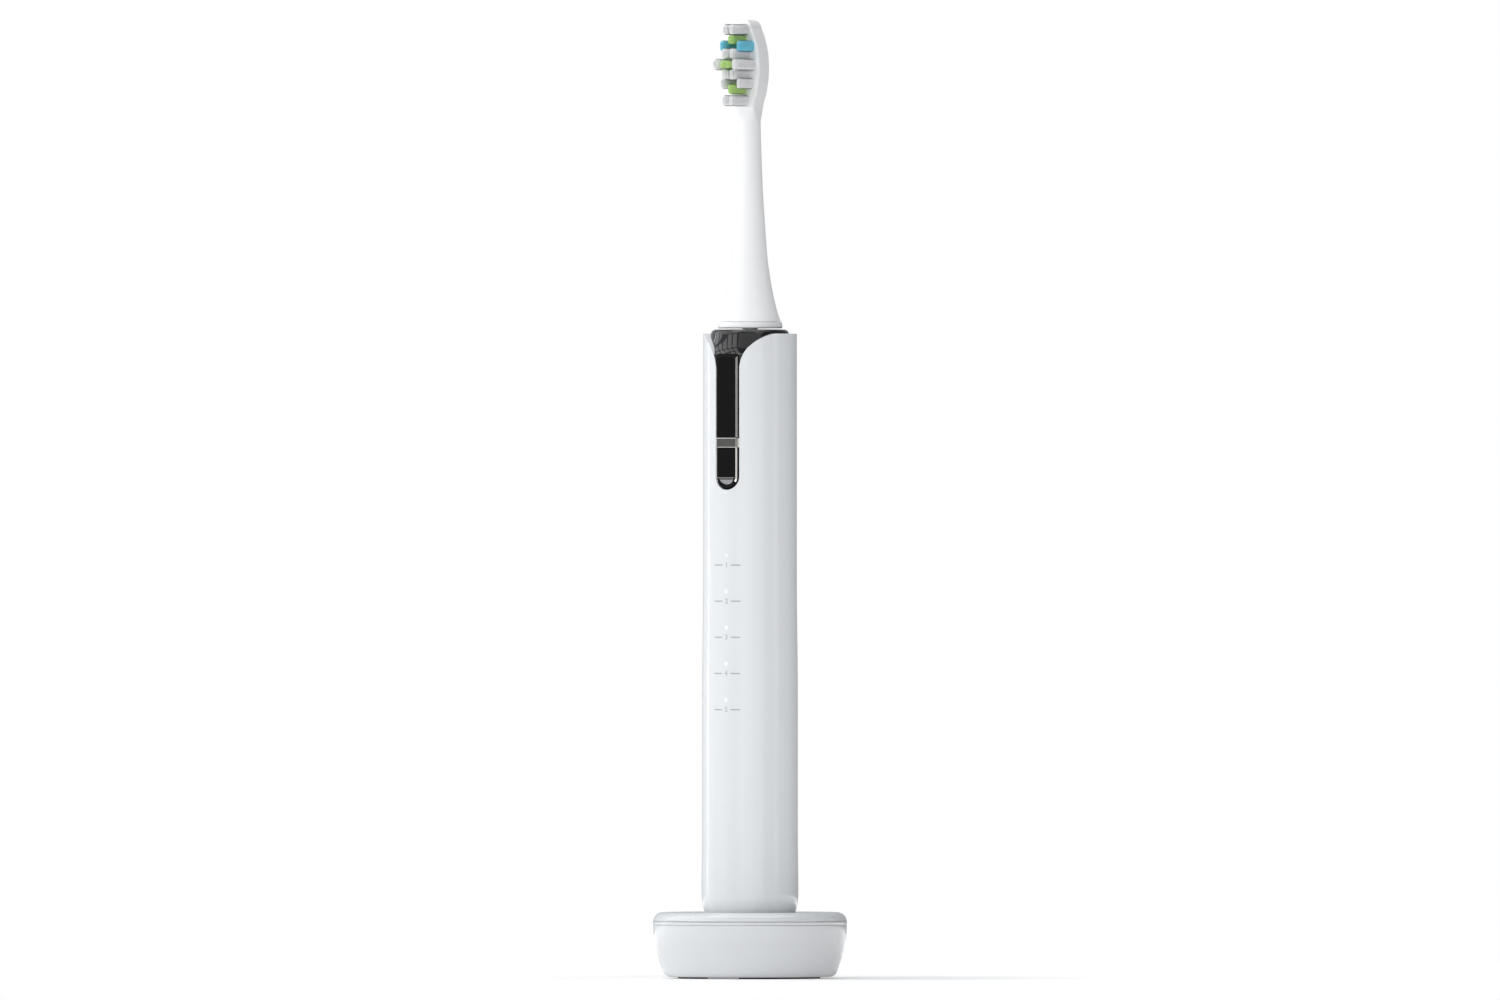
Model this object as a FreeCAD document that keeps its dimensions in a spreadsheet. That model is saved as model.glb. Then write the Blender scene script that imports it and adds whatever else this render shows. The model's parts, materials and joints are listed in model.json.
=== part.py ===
import FreeCAD, Part
import math
import os
import re
import Sketcher
from FreeCAD import Placement, Rotation, Vector

# Electric toothbrush standing on its round charger.
# Millimetres. Origin in the middle of the resting plane, +Z up, the bristles face -Y.

doc = FreeCAD.newDocument("Toothbrush")
sheet = doc.addObject("Spreadsheet::Sheet", "Dim")

SIZES = {
    # Charger base, a round two-piece moulding on three rubber feet.
    "base_radius": 25.2, "base_height": 17.2, "cover_height": 3.2, "base_floor": 0.4,
    "base_wall": 1.8, "base_edge": 2.5, "base_side_arc": 33.5, "base_draft": 2.3,
    "well_depth": 3.0, "well_gap": 0.35, "peg_radius": 3.3, "peg_height": 7.3,
    "foot_inset": 4.1, "foot_width": 2.8, "foot_sweep": 86.0, "post_gap": 0.5,
    "cord_hole": 1.6, "coil_outer": 7.6,
    # Handle shell: straight upper grip, slightly fuller below, drawn in at the bottom.
    "grip_length": 153.1, "grip_radius": 12.2, "grip_wall": 2.0, "lower_bulge": 0.25,
    "belly_bulge": 0.4, "bottom_draw": 1.5, "belly_height": 8.0, "taper_drop": 69.6,
    "taper_length": 13.0, "cap_inset": 1.0,
    # Front strip, funnel collar, button and lights, measured down from the rim.
    "slot_half": 3.5, "slot_length": 37.1, "flare_depth": 8.4, "flare_mid_x": 5.13,
    "flare_mid_depth": 4.2, "flare_side": 1.4, "strip_rise": 0.2, "strip_bevel": 0.65,
    "strip_gap": 0.1, "collar_rise": 1.1, "band_drop": 27.1, "band_height": 2.5,
    "light_pitch": 9.39, "light_drop": 57.64, "light_radius": 0.6,
    # Cell, board and motor stack, with the room each one leaves beside it.
    "cell_space": 3.2, "cell_rise": 6.5, "cell_clearance": 21.6, "board_space": 1.6,
    "board_thick": 0.8, "board_half": 4.8, "board_tail": 8.4, "board_head": 7.7,
    "motor_space": 3.0, "motor_drop": 23.6, "motor_length": 44.4,
    "shaft_radius": 2.0, "spindle_radius": 1.5, "shaft_reach": 18.3, "running_gap": 0.04,
    # Brush head.
    "ring_space": 1.7, "ring_height": 1.65, "neck_length": 53.3, "neck_radius": 2.76,
    "plate_neck": 3.6, "plate_length": 23.3, "plate_rise": 10.9, "plate_half": 4.7,
    "plate_front": 3.5, "plate_back": 2.3, "field_rise": 11.6, "socket_gap": 0.3,
    "socket_wall": 1.0, "hole_floor": 1.2, "tuft_root": 2.0,
    "step_gap": 0.1, "body_gap": 0.3,
}

# Places and sizes that follow from the ones above.
FOLLOWS = {
    "base_split": "base_height - cover_height",
    "base_foot_radius": "base_radius - base_draft",
    "foot_outer": "base_foot_radius - foot_inset",
    "foot_inner": "foot_outer - foot_width",
    "floor_reach": "base_foot_radius - base_wall - 0.8",
    "post_radius": "(floor_reach - belly_radius) * 0.3117",
    "boss_circle": "floor_reach - post_gap - post_radius",
    "gland_height": "(base_floor + base_split) / 2",
    "well_floor": "base_height - well_depth",
    "peg_top": "well_floor + peg_height",
    "handle_low": "well_floor + body_gap",
    "rim_z": "handle_low + grip_length",
    "lower_radius": "grip_radius + lower_bulge",
    "belly_radius": "grip_radius + belly_bulge",
    "bottom_radius": "grip_radius - bottom_draw",
    "cavity_radius": "grip_radius - grip_wall",
    "cap_radius": "bottom_radius - cap_inset",
    "belly_z": "handle_low + belly_height",
    "taper_high": "rim_z - taper_drop",
    "taper_low": "taper_high - taper_length",
    "slot_end": "rim_z - slot_length",
    "flare_start": "rim_z - flare_depth",
    "flare_mid_z": "rim_z - flare_mid_depth",
    "flare_rim_x": "grip_radius - flare_side",
    "strip_front": "grip_radius + strip_rise",
    "band_high": "rim_z - band_drop",
    "band_low": "band_high - band_height",
    "light_low": "rim_z - light_drop - 4 * light_pitch",
    "collar_top": "rim_z + collar_rise",
    "cell_radius": "cavity_radius - cell_space",
    "cell_offset": "cavity_radius - 1 - cell_radius",
    "cell_low": "peg_top + cell_rise",
    "cell_length": "motor_low - cell_low - cell_clearance",
    "board_front": "cavity_radius - board_space",
    "board_low": "light_low - board_tail",
    "board_high": "slot_end + board_head",
    "screw_z": "cell_low + cell_length + 8",
    "motor_radius": "cavity_radius - motor_space",
    "motor_high": "rim_z - motor_drop",
    "motor_low": "motor_high - motor_length",
    "shaft_top": "collar_top + shaft_reach",
    "ring_radius": "cavity_radius - ring_space",
    "ring_low": "collar_top + body_gap",
    "ring_high": "ring_low + ring_height",
    "neck_low": "ring_low + neck_length",
    "socket_radius": "shaft_radius + socket_gap + socket_wall",
    "plate_low": "neck_low + plate_neck",
    "plate_mid": "plate_low + plate_rise",
    "plate_top": "plate_low + plate_length",
    "field_mid": "plate_low + field_rise * plate_length / 23.3",
}

for row, (alias, size) in enumerate(SIZES.items(), start=1):
    sheet.set(f"A{row}", alias)
    sheet.set(f"B{row}", str(size))
    sheet.setAlias(f"B{row}", alias)
doc.recompute()


def bound(text):
    """Write the named sizes in a formula as references to the sheet."""
    def named(match):
        name = match.group()
        return f"({bound(FOLLOWS[name])})" if name in FOLLOWS else f"Dim.{name}"
    return re.sub(r"\b[a-z]+(?:_[a-z]+)+\b", named, str(text))


def value(text):
    return float(sheet.evalExpression(bound(text)))


def bind(item, prop, text):
    item.setExpression(prop, bound(text))


# ---------------------------------------------------------------- drawing helpers

ORIENT = {
    "XY_Plane": Rotation(),
    "XZ_Plane": Rotation(Vector(1, 0, 0), 90),
    "YZ_Plane": Rotation(Vector(1, 1, 1), 120),
}


def attach(owner, name, role, offset):
    """New sketch: in a body it sits on the body's own plane, otherwise it is placed."""
    if owner is None:
        sketch = doc.addObject("Sketcher::SketchObject", name)
        sketch.Placement = Placement(Vector(), ORIENT[role])
        lift = {"XY_Plane": ("z", 1), "XZ_Plane": ("y", -1), "YZ_Plane": ("x", 1)}[role]
        bind(sketch, f"Placement.Base.{lift[0]}", f"{lift[1]} * ({offset})")
        return sketch
    sketch = owner.newObject("Sketcher::SketchObject", name)
    plane = [f for f in owner.Origin.OriginFeatures if f.Role == role][0]
    sketch.AttachmentSupport = [(plane, "")]
    sketch.MapMode = "FlatFace"
    bind(sketch, "AttachmentOffset.Base.z", offset)
    return sketch


def pin(sketch, edge, end, x, y):
    """Hold one sketch point at two sheet expressions."""
    for kind, text in (("DistanceX", x), ("DistanceY", y)):
        slot = sketch.addConstraint(Sketcher.Constraint(kind, -1, 1, edge, end, value(text)))
        bind(sketch, f"Constraints[{slot}]", text)


def arc_between(start, stop, radius):
    """Minor arc from start to stop; positive radius bulges to the right of the path."""
    chord = stop - start
    rise = math.sqrt(max(radius * radius - chord.Length ** 2 / 4, 0))
    side = Vector(chord.y, -chord.x, 0).normalize() * math.copysign(1, radius)
    centre = (start + stop) / 2 - side * rise
    middle = centre + side * abs(radius)
    return Part.Arc(start, middle, stop)


def loop(sketch, points):
    """Closed outline. A point is (x, y) or (x, y, radius of the arc to the next point)."""
    first = sketch.GeometryCount
    places = [Vector(value(p[0]), value(p[1]), 0) for p in points]
    count = len(points)
    for i, point in enumerate(points):
        here = places[i]
        there = places[(i + 1) % count]
        if len(point) == 2:
            sketch.addGeometry(Part.LineSegment(here, there), False)
        else:
            sketch.addGeometry(arc_between(here, there, value(point[2])), False)
    for i in range(count):
        this_end = 2
        next_start = 1
        if len(points[i]) == 3:
            this_end = nearest_end(sketch, first + i, places[(i + 1) % count])
        if len(points[(i + 1) % count]) == 3:
            next_start = nearest_end(sketch, first + (i + 1) % count, places[(i + 1) % count])
        join = Sketcher.Constraint(
            "Coincident", first + i, this_end, first + (i + 1) % count, next_start)
        sketch.addConstraint(join)
    for i, point in enumerate(points):
        start = 1
        if len(point) == 3:
            start = nearest_end(sketch, first + i, places[i])
            size = abs(value(point[2]))
            slot = sketch.addConstraint(Sketcher.Constraint("Radius", first + i, size))
            bind(sketch, f"Constraints[{slot}]", f"abs({point[2]})")
        pin(sketch, first + i, start, point[0], point[1])


def nearest_end(sketch, edge, place):
    starts = (sketch.getPoint(edge, 1) - place).Length < (sketch.getPoint(edge, 2) - place).Length
    return 1 if starts else 2


def circle(sketch, x, y, radius):
    edge = sketch.addGeometry(
        Part.Circle(Vector(value(x), value(y), 0), Vector(0, 0, 1), value(radius)), False)
    pin(sketch, edge, 3, x, y)
    slot = sketch.addConstraint(Sketcher.Constraint("Radius", edge, value(radius)))
    bind(sketch, f"Constraints[{slot}]", radius)


def rectangle(sketch, left, low, right, high):
    loop(sketch, [(left, low), (right, low), (right, high), (left, high)])


def body(label):
    item = doc.addObject("PartDesign::Body", label)
    item.Label = label
    return item


def spin(owner, points, name="turned", kind="PartDesign::Revolution", angle=360):
    """Revolve an (r, z) outline about the Z axis; a Groove removes instead of adding."""
    sketch = attach(owner, name + "_outline", "XZ_Plane", 0)
    loop(sketch, points)
    feature = owner.newObject(kind, name)
    feature.Profile = sketch
    feature.ReferenceAxis = (sketch, ["V_Axis"])
    bind(feature, "Angle", angle)
    sketch.Visibility = False
    owner.Tip = feature
    return feature


def turned(label, points, angle=360, turn=0):
    item = body(label)
    spin(item, points, angle=angle)
    item.Placement = Placement(Vector(), Rotation(Vector(0, 0, 1), turn))
    return item


def raise_pad(owner, name, role, offset, length, draw, away=False):
    """Pad a drawn outline from its plane; away=True grows against the plane's normal."""
    sketch = attach(owner, name + "_outline", role, offset)
    draw(sketch)
    feature = owner.newObject("PartDesign::Pad", name)
    feature.Profile = sketch
    bind(feature, "Length", length)
    feature.Reversed = away
    sketch.Visibility = False
    owner.Tip = feature
    return feature


def cut_pocket(owner, name, role, offset, length, draw, away=False):
    """Pocket a drawn outline; it cuts against the plane's normal unless away=True."""
    sketch = attach(owner, name + "_outline", role, offset)
    draw(sketch)
    feature = owner.newObject("PartDesign::Pocket", name)
    feature.Profile = sketch
    bind(feature, "Length", length)
    feature.Reversed = away
    sketch.Visibility = False
    owner.Tip = feature
    return feature


def around(owner, feature, count):
    """Repeat a feature evenly about the Z axis."""
    pattern = owner.newObject("PartDesign::PolarPattern", feature.Name + "_pattern")
    pattern.Originals = [feature]
    axis = [f for f in owner.Origin.OriginFeatures if f.Role == "Z_Axis"][0]
    pattern.Axis = (axis, [""])
    pattern.Angle = 360
    pattern.Occurrences = count
    owner.Tip = pattern
    return pattern


def soften(owner, name, radius, wanted, kind="PartDesign::Fillet"):
    """Fillet or chamfer the tip's edges that the test picks."""
    doc.recompute()
    tip = owner.Tip
    edges = [f"Edge{i}" for i, edge in enumerate(tip.Shape.Edges, start=1) if wanted(edge)]
    feature = owner.newObject(kind, name)
    feature.Base = (tip, edges)
    bind(feature, "Radius" if kind.endswith("Fillet") else "Size", radius)
    owner.Tip = feature
    return feature


def flat_in(axis, place):
    """Edge test: the whole edge lies in the plane where the axis equals the place."""
    def wanted(edge):
        box = edge.BoundBox
        low = getattr(box, axis + "Min")
        high = getattr(box, axis + "Max")
        return abs(low - place) < 1e-3 and abs(high - place) < 1e-3
    return wanted


def block(label, x, y, z, wide, deep, high):
    """Plain box centred on x, from the given y and z corners."""
    item = doc.addObject("Part::Box", label)
    item.Label = label
    for prop, text in (("Length", wide), ("Width", deep), ("Height", high),
                       ("Placement.Base.x", f"({x}) - ({wide}) / 2"),
                       ("Placement.Base.y", y), ("Placement.Base.z", z)):
        bind(item, prop, text)
    return item


def rod(label, x, y, z, radius, high):
    item = doc.addObject("Part::Cylinder", label)
    item.Label = label
    for prop, text in (("Radius", radius), ("Height", high), ("Placement.Base.x", x),
                       ("Placement.Base.y", y), ("Placement.Base.z", z)):
        bind(item, prop, text)
    return item


def group(label, kind, items):
    """Join several solids into one node, fused or as separate lumps."""
    item = doc.addObject(kind, label)
    item.Label = label
    if kind == "Part::Compound":
        item.Links = items
    else:
        item.Shapes = items
    return item


def less(label, base, tool):
    item = doc.addObject("Part::Cut", label)
    item.Label = label
    item.Base = base
    item.Tool = tool
    return item


def ring_points(inner, outer, low, high):
    return [(inner, low), (outer, low), (outer, high), (inner, high)]


parts = []

# ---------------------------------------------------------------- charger base

INNER = "base_radius - base_wall"
UNDER = "base_floor + base_wall"

shell = turned("base_shell", [
    (0, "base_floor"), ("base_foot_radius - 1.9", "base_floor", 2),
    ("base_foot_radius", "base_floor + 1.4", "base_side_arc"),
    ("base_radius", "base_split - step_gap"), (INNER, "base_split - step_gap"),
    (INNER, "base_split - 4", "-(base_side_arc)"),
    ("base_foot_radius - base_wall", "base_floor + 2.6"),
    ("base_foot_radius - base_wall - 0.8", UNDER), (0, UNDER)])
spin(shell, ring_points("foot_inner", "foot_outer", "base_floor - 1", "base_floor + 0.6"),
     "foot_groove", "PartDesign::Groove")
cut_pocket(shell, "gland_hole", "XZ_Plane", "-(base_radius + 1)", "base_wall + 4",
           lambda s: circle(s, 0, "gland_height", "cord_hole + 1.15"), away=True)
holes = cut_pocket(shell, "screw_hole", "XY_Plane", "base_floor + base_wall + 1", "base_wall + 3",
                   lambda s: circle(s, "boss_circle * cos(45)", "boss_circle * sin(45)", 1.25))
around(shell, holes, 4)
parts.append(shell)

cover = turned("base_cover", [
    ("base_radius", "base_split"), ("base_radius", "base_height - base_edge", "base_edge"),
    ("base_radius - base_edge", "base_height"), ("belly_radius + 0.2", "base_height", -0.5),
    ("belly_radius - 0.3", "base_height - 0.5"),
    ("bottom_radius + well_gap + 0.1", "well_floor"), ("peg_radius + 0.6", "well_floor", -0.6),
    ("peg_radius", "well_floor + 0.6"), ("peg_radius", "peg_top - 0.8", 0.8),
    ("peg_radius - 0.8", "peg_top"), (0, "peg_top"), (0, "peg_top - 1.1"),
    ("peg_radius - 1.1", "peg_top - 1.1"), ("peg_radius - 1.1", "well_floor - 1.6"),
    ("belly_radius + 0.4", "well_floor - 1.6"), ("belly_radius + 1.2", "base_height - 1.6"),
    (f"{INNER} - 1.6", "base_height - 1.6"), (f"{INNER} - 1.6", "base_split - 2.2"),
    (f"{INNER} - 0.15", "base_split - 2.2"), (f"{INNER} - 0.15", "base_split")])
post = raise_pad(cover, "screw_post", "XY_Plane", "base_floor + base_wall + 0.1",
                 "base_height - base_floor - base_wall - 1.6",
                 lambda s: circle(s, "boss_circle * cos(45)", "boss_circle * sin(45)",
                                  "post_radius"))
around(cover, post, 4)
pilot = cut_pocket(cover, "screw_pilot", "XY_Plane", "base_floor + base_wall", 9,
                   lambda s: circle(s, "boss_circle * cos(45)", "boss_circle * sin(45)", 0.85),
                   away=True)
around(cover, pilot, 4)
parts.append(cover)

for name, turn in (("foot_pad_front", 171), ("foot_pad_right", -69), ("foot_pad_rear", 51)):
    parts.append(turned(name, ring_points("foot_inner + 0.05", "foot_outer - 0.05", 0,
                                          "base_floor + 0.6"), "foot_sweep", turn))

for number in range(4):
    turn = math.radians(45 + 90 * number)
    x = f"boss_circle * {math.cos(turn):.4f}"
    y = f"boss_circle * {math.sin(turn):.4f}"
    head = rod(f"screw_head_{number}", x, y, "base_floor + 0.65", 1.2, 0.9)
    shank = rod(f"screw_shank_{number}", x, y, "base_floor + 1.55", 0.8, 7.5)
    parts.append(group(f"base_screw_{number + 1}", "Part::MultiFuse", [head, shank]))

parts.append(turned("ferrite_core", [
    (0, "base_floor + base_wall"), ("peg_radius - 1.2", "base_floor + base_wall"),
    ("peg_radius - 1.2", "peg_top - 1.3"), (0, "peg_top - 1.3")]))
COIL_LOW = f"{UNDER} + 2.4"
COIL_HIGH = "well_floor - 2"
parts.append(turned("primary_bobbin", [
    ("peg_radius - 1.15", COIL_LOW), ("coil_outer + 0.3", COIL_LOW),
    ("coil_outer + 0.3", f"{COIL_LOW} + 0.6"), ("peg_radius - 0.5", f"{COIL_LOW} + 0.6"),
    ("peg_radius - 0.5", f"{COIL_HIGH} - 0.6"), ("coil_outer + 0.3", f"{COIL_HIGH} - 0.6"),
    ("coil_outer + 0.3", COIL_HIGH), ("peg_radius - 1.15", COIL_HIGH)]))
parts.append(turned("primary_coil", ring_points("peg_radius - 0.45", "coil_outer",
                                                f"{COIL_LOW} + 0.65", f"{COIL_HIGH} - 0.65")))

# The board is a ring between the coil and the screw posts; its parts share that room.
ROOM = "(boss_circle - post_radius - 1 - coil_outer)"
MIDWAY = "(coil_outer + boss_circle - 1.8) / 2"
ON_BOARD = f"{UNDER} + 4.4"
board = body("charger_board")
raise_pad(board, "disc", "XY_Plane", f"{UNDER} + 3.2", 1.2,
          lambda s: circle(s, 0, 0, "boss_circle - post_radius - 0.2"))
cut_pocket(board, "core_hole", "XY_Plane", f"{UNDER} + 5.8", 4,
           lambda s: circle(s, 0, 0, "coil_outer + 0.8"))
cut_pocket(board, "cord_side", "XY_Plane", f"{UNDER} + 5.8", 4, lambda s: rectangle(
    s, -6, f"coil_outer + 0.8 + {ROOM} * 0.33", 6, "boss_circle"))
parts.append(board)
parts.append(rod("mains_capacitor", f"-{MIDWAY}", -1.5, ON_BOARD, f"{ROOM} * 0.4",
                 f"well_floor - 2.6 - ({ON_BOARD})"))
parts.append(block("mains_resistor", MIDWAY, -2.2, ON_BOARD, f"{ROOM} * 0.375", 5.0, 1.6))
parts.append(block("charger_driver", 0, f"-(coil_outer + 0.8 + {ROOM} * 0.81)", ON_BOARD, 5.0,
                   f"{ROOM} * 0.62", 1.5))

gland = body("cable_gland")
raise_pad(gland, "flange", "XZ_Plane", "-(base_foot_radius - base_wall - 0.7)", 1.2,
          lambda s: circle(s, 0, "gland_height", "cord_hole + 1.6"))
raise_pad(gland, "barrel", "XZ_Plane", "-(base_radius - 0.9)", "base_draft + base_wall - 0.2",
          lambda s: circle(s, 0, "gland_height", "cord_hole + 1.1"))
cut_pocket(gland, "cord_bore", "XZ_Plane", "-(base_radius + 1)", 8,
           lambda s: circle(s, 0, "gland_height", "cord_hole"), away=True)
parts.append(gland)

# ---------------------------------------------------------------- handle shell and trim



def notch(sketch):
    """Front opening of the grip: a round-ended slot that flares out towards the rim."""
    loop(sketch, [
        ("-(slot_half)", "slot_end", "slot_half"), (0, "slot_end - slot_half", "slot_half"),
        ("slot_half", "slot_end"), ("slot_half", "flare_start", -6.23),
        ("flare_mid_x", "flare_mid_z", -14.74), ("flare_rim_x", "rim_z"),
        ("flare_rim_x", "rim_z + 3"), ("-(flare_rim_x)", "rim_z + 3"),
        ("-(flare_rim_x)", "rim_z", -14.74), ("-(flare_mid_x)", "flare_mid_z", -6.23),
        ("-(slot_half)", "flare_start")])


grip = turned("outer_shell", [
    ("cap_radius", "handle_low"), ("bottom_radius", "handle_low", 17.8),
    ("belly_radius", "belly_z"), ("lower_radius", "belly_z + 12"),
    ("lower_radius", "taper_low"), ("grip_radius", "taper_high"),
    ("grip_radius", "rim_z - 0.3", 0.3), ("grip_radius - 0.3", "rim_z"),
    ("cavity_radius", "rim_z"), ("cavity_radius", "handle_low + 5.5"),
    ("cap_radius", "handle_low + 5")])
cut_pocket(grip, "front_notch", "XZ_Plane", 0, "2 * grip_radius", notch, away=True)
for number in range(5):
    cut_pocket(grip, f"light_hole_{number}", "XZ_Plane", 0, "2 * grip_radius", away=True,
               draw=lambda s: circle(s, 0, f"light_low + {number} * light_pitch",
                                     "light_radius + 0.03"))
parts.append(grip)

collar = body("collar_trim")
COLLAR_IN = "(ring_radius - 3.5)"
raise_pad(collar, "tongue", "XZ_Plane", "cavity_radius - 2.7", 6, lambda s: loop(s, [
    ("-(slot_half - strip_gap)", "flare_start + 2.3"),
    ("slot_half - strip_gap", "flare_start + 2.3", -9),
    ("flare_mid_x - strip_gap", "flare_mid_z", -14.74),
    ("flare_rim_x - strip_gap", "rim_z"), ("-(flare_rim_x - strip_gap)", "rim_z", -14.74),
    ("-(flare_mid_x - strip_gap)", "flare_mid_z", -9)]))
spin(collar, [
    ("grip_radius - 0.05", "flare_start"), ("grip_radius - 0.05", "flare_start + 2.2", -9),
    ("grip_radius - 0.9", "flare_mid_z", -9), ("cavity_radius", "rim_z"),
    ("cavity_radius", "rim_z + 3"), ("grip_radius + 6", "rim_z + 3"),
    ("grip_radius + 6", "flare_start")], "funnel", "PartDesign::Groove")
spin(collar, [
    (COLLAR_IN, "rim_z - 6"), ("cavity_radius - 0.05", "rim_z - 6"),
    ("cavity_radius - 0.05", "rim_z", 1.6),
    ("ring_radius + 0.15", "collar_top"), (COLLAR_IN, "collar_top")], "ring")
parts.append(collar)


def strip(label, low, high, proud, deep):
    """Bevelled bar lying in the slot of the grip."""
    item = body(label)
    half = "slot_half - strip_gap"
    raise_pad(item, "bar", "XZ_Plane", f"strip_front + {proud} - {deep}", deep,
              lambda s: rectangle(s, f"-({half})", low, half, high))
    front = -value(f"strip_front + {proud}")
    upright = value(f"({high}) - ({low})") - 0.01
    soften(item, "bevel", "strip_bevel",
           lambda e: flat_in("Y", front)(e) and e.BoundBox.ZLength > upright,
           "PartDesign::Chamfer")
    return item


parts.append(strip("front_strip", "band_high + step_gap", "flare_start + 2.2", 0, 2.3))
parts.append(strip("trim_band", "band_low", "band_high", 0.08, 2.3))

button = body("power_button")
HALF = "slot_half - strip_gap"
raise_pad(button, "key", "XZ_Plane", "strip_front - 1.5", 1.5, lambda s: loop(s, [
    (f"-({HALF})", "slot_end", HALF), (0, f"slot_end - ({HALF})", HALF), (HALF, "slot_end"),
    (HALF, "band_low - step_gap"), (f"-({HALF})", "band_low - step_gap")]))
soften(button, "bevel", "strip_bevel",
       lambda e: flat_in("Y", -value("strip_front"))(e)
       and not flat_in("Z", value("band_low - step_gap"))(e), "PartDesign::Chamfer")
raise_pad(button, "post", "XZ_Plane", "cavity_radius + 0.15", "strip_front - cavity_radius - 1.45",
          lambda s: circle(s, 0, "slot_end + 3.5", 1.0))
parts.append(button)

gasket = body("button_gasket")
raise_pad(gasket, "pad", "XZ_Plane", "cavity_radius - 0.3", 0.6, lambda s: loop(s, [
    ("-(slot_half - 0.05)", "slot_end", "slot_half - 0.05"),
    (0, "slot_end - slot_half + 0.05", "slot_half - 0.05"), ("slot_half - 0.05", "slot_end"),
    ("slot_half - 0.05", "band_low - 0.2"), ("-(slot_half - 0.05)", "band_low - 0.2")]))
cut_pocket(gasket, "post_hole", "XZ_Plane", 0, "2 * grip_radius", away=True,
           draw=lambda s: circle(s, 0, "slot_end + 3.5", 1.35))
parts.append(gasket)

guide = body("light_guide")
raise_pad(guide, "rail", "XZ_Plane", "cavity_radius - 0.9", 0.6, lambda s: rectangle(
    s, -1.4, "light_low - 2", 1.4, "light_low + 4 * light_pitch + 2"))
for number, radius in enumerate(["lower_radius", "lower_radius", "(lower_radius + grip_radius) / 2",
                                 "grip_radius", "grip_radius"]):
    raise_pad(guide, f"pin_{number}", "XZ_Plane", "cavity_radius - 0.4",
              f"{radius} - cavity_radius + 0.4",
              lambda s: circle(s, 0, f"light_low + {number} * light_pitch", "light_radius"))
parts.append(guide)

parts.append(turned("shaft_seal", [
    ("shaft_radius + running_gap", "rim_z - 4"), (f"{COLLAR_IN} - 0.05", "rim_z - 4"),
    (f"{COLLAR_IN} - 0.05", "collar_top - 0.3"),
    (f"({COLLAR_IN} + shaft_radius) / 2 - 0.1", "collar_top - 0.2"),
    ("shaft_radius + running_gap", "collar_top - 1.2")]))

# ---------------------------------------------------------------- handle internals

parts.append(turned("bottom_cap", [
    ("peg_radius + body_gap", "handle_low"), ("cap_radius - 0.05", "handle_low"),
    ("cap_radius - 0.05", "handle_low + 1.1"), ("cap_radius - 0.95", "handle_low + 1.1"),
    ("cap_radius - 0.95", "handle_low + 2.3"), ("cap_radius - 0.05", "handle_low + 2.3"),
    ("cap_radius - 0.05", "handle_low + 4.1"), ("peg_radius + 1.2", "handle_low + 4.1"),
    ("peg_radius + 1.2", "peg_top + 1.5"), (0, "peg_top + 1.5"),
    (0, "peg_top + 0.5"), ("peg_radius + body_gap", "peg_top + 0.5")]))

seal = doc.addObject("Part::Torus", "bottom_seal")
seal.Label = "bottom_seal"
bind(seal, "Radius1", "cap_radius - 0.475")
bind(seal, "Radius2", 0.44)
bind(seal, "Placement.Base.z", "handle_low + 1.7")
parts.append(seal)

parts.append(turned("pickup_bobbin", [
    ("peg_radius + 1.25", "handle_low + 4.2"), ("cap_radius - 1.4", "handle_low + 4.2"),
    ("cap_radius - 1.4", "handle_low + 4.7"), ("peg_radius + 1.9", "handle_low + 4.7"),
    ("peg_radius + 1.9", "handle_low + 7.9"), ("cap_radius - 1.4", "handle_low + 7.9"),
    ("cap_radius - 1.4", "handle_low + 8.4"), ("peg_radius + 1.25", "handle_low + 8.4")]))
parts.append(turned("pickup_coil", ring_points("peg_radius + 1.95", "cap_radius - 1.7",
                                               "handle_low + 4.75", "handle_low + 7.85")))

can = rod("cell_can", 0, "cell_offset", "cell_low", "cell_radius", "cell_length")
nub = rod("cell_nub", 0, "cell_offset", "cell_low + cell_length", 2.6, 0.9)
parts.append(group("battery_cell", "Part::MultiFuse", [can, nub]))
parts.append(block("cell_contact_plus", 0, "cell_offset - 3", "cell_low + cell_length + 0.9",
                   4.0, 6.0, 0.2))
parts.append(block("cell_contact_minus", 0, "cell_offset - 3", "cell_low - 0.2", 4.0, 6.0, 0.2))

frame = body("chassis")
raise_pad(frame, "column", "XY_Plane", "cell_low - 3", "motor_low + 4 - cell_low + 3",
          lambda s: circle(s, 0, 0, "cavity_radius - 0.1"))
cut_pocket(frame, "cell_bay", "XY_Plane", "cell_low + cell_length + 2", "cell_length + 10",
           lambda s: circle(s, 0, "cell_offset", "cell_radius + 0.1"))
cut_pocket(frame, "motor_seat", "XY_Plane", "motor_low + 9", "9 + 0.1",
           lambda s: circle(s, 0, 0, "motor_radius + 0.05"))
cut_pocket(frame, "board_face", "XY_Plane", "motor_low + 9", "motor_low",
           lambda s: rectangle(s, "-2 * cavity_radius", "-2 * cavity_radius", "2 * cavity_radius",
                               "board_thick - board_front"))
cut_pocket(frame, "side_windows", "YZ_Plane", "cavity_radius + 5", "2 * cavity_radius + 10",
           lambda s: rectangle(s, -2, "cell_low + 8", 6, "cell_low + cell_length - 8"))
cut_pocket(frame, "wire_window", "YZ_Plane", "cavity_radius + 5", "2 * cavity_radius + 10",
           lambda s: rectangle(s, -2, "cell_low + cell_length + 4", 4, "motor_low - 4"))
parts.append(frame)

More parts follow.
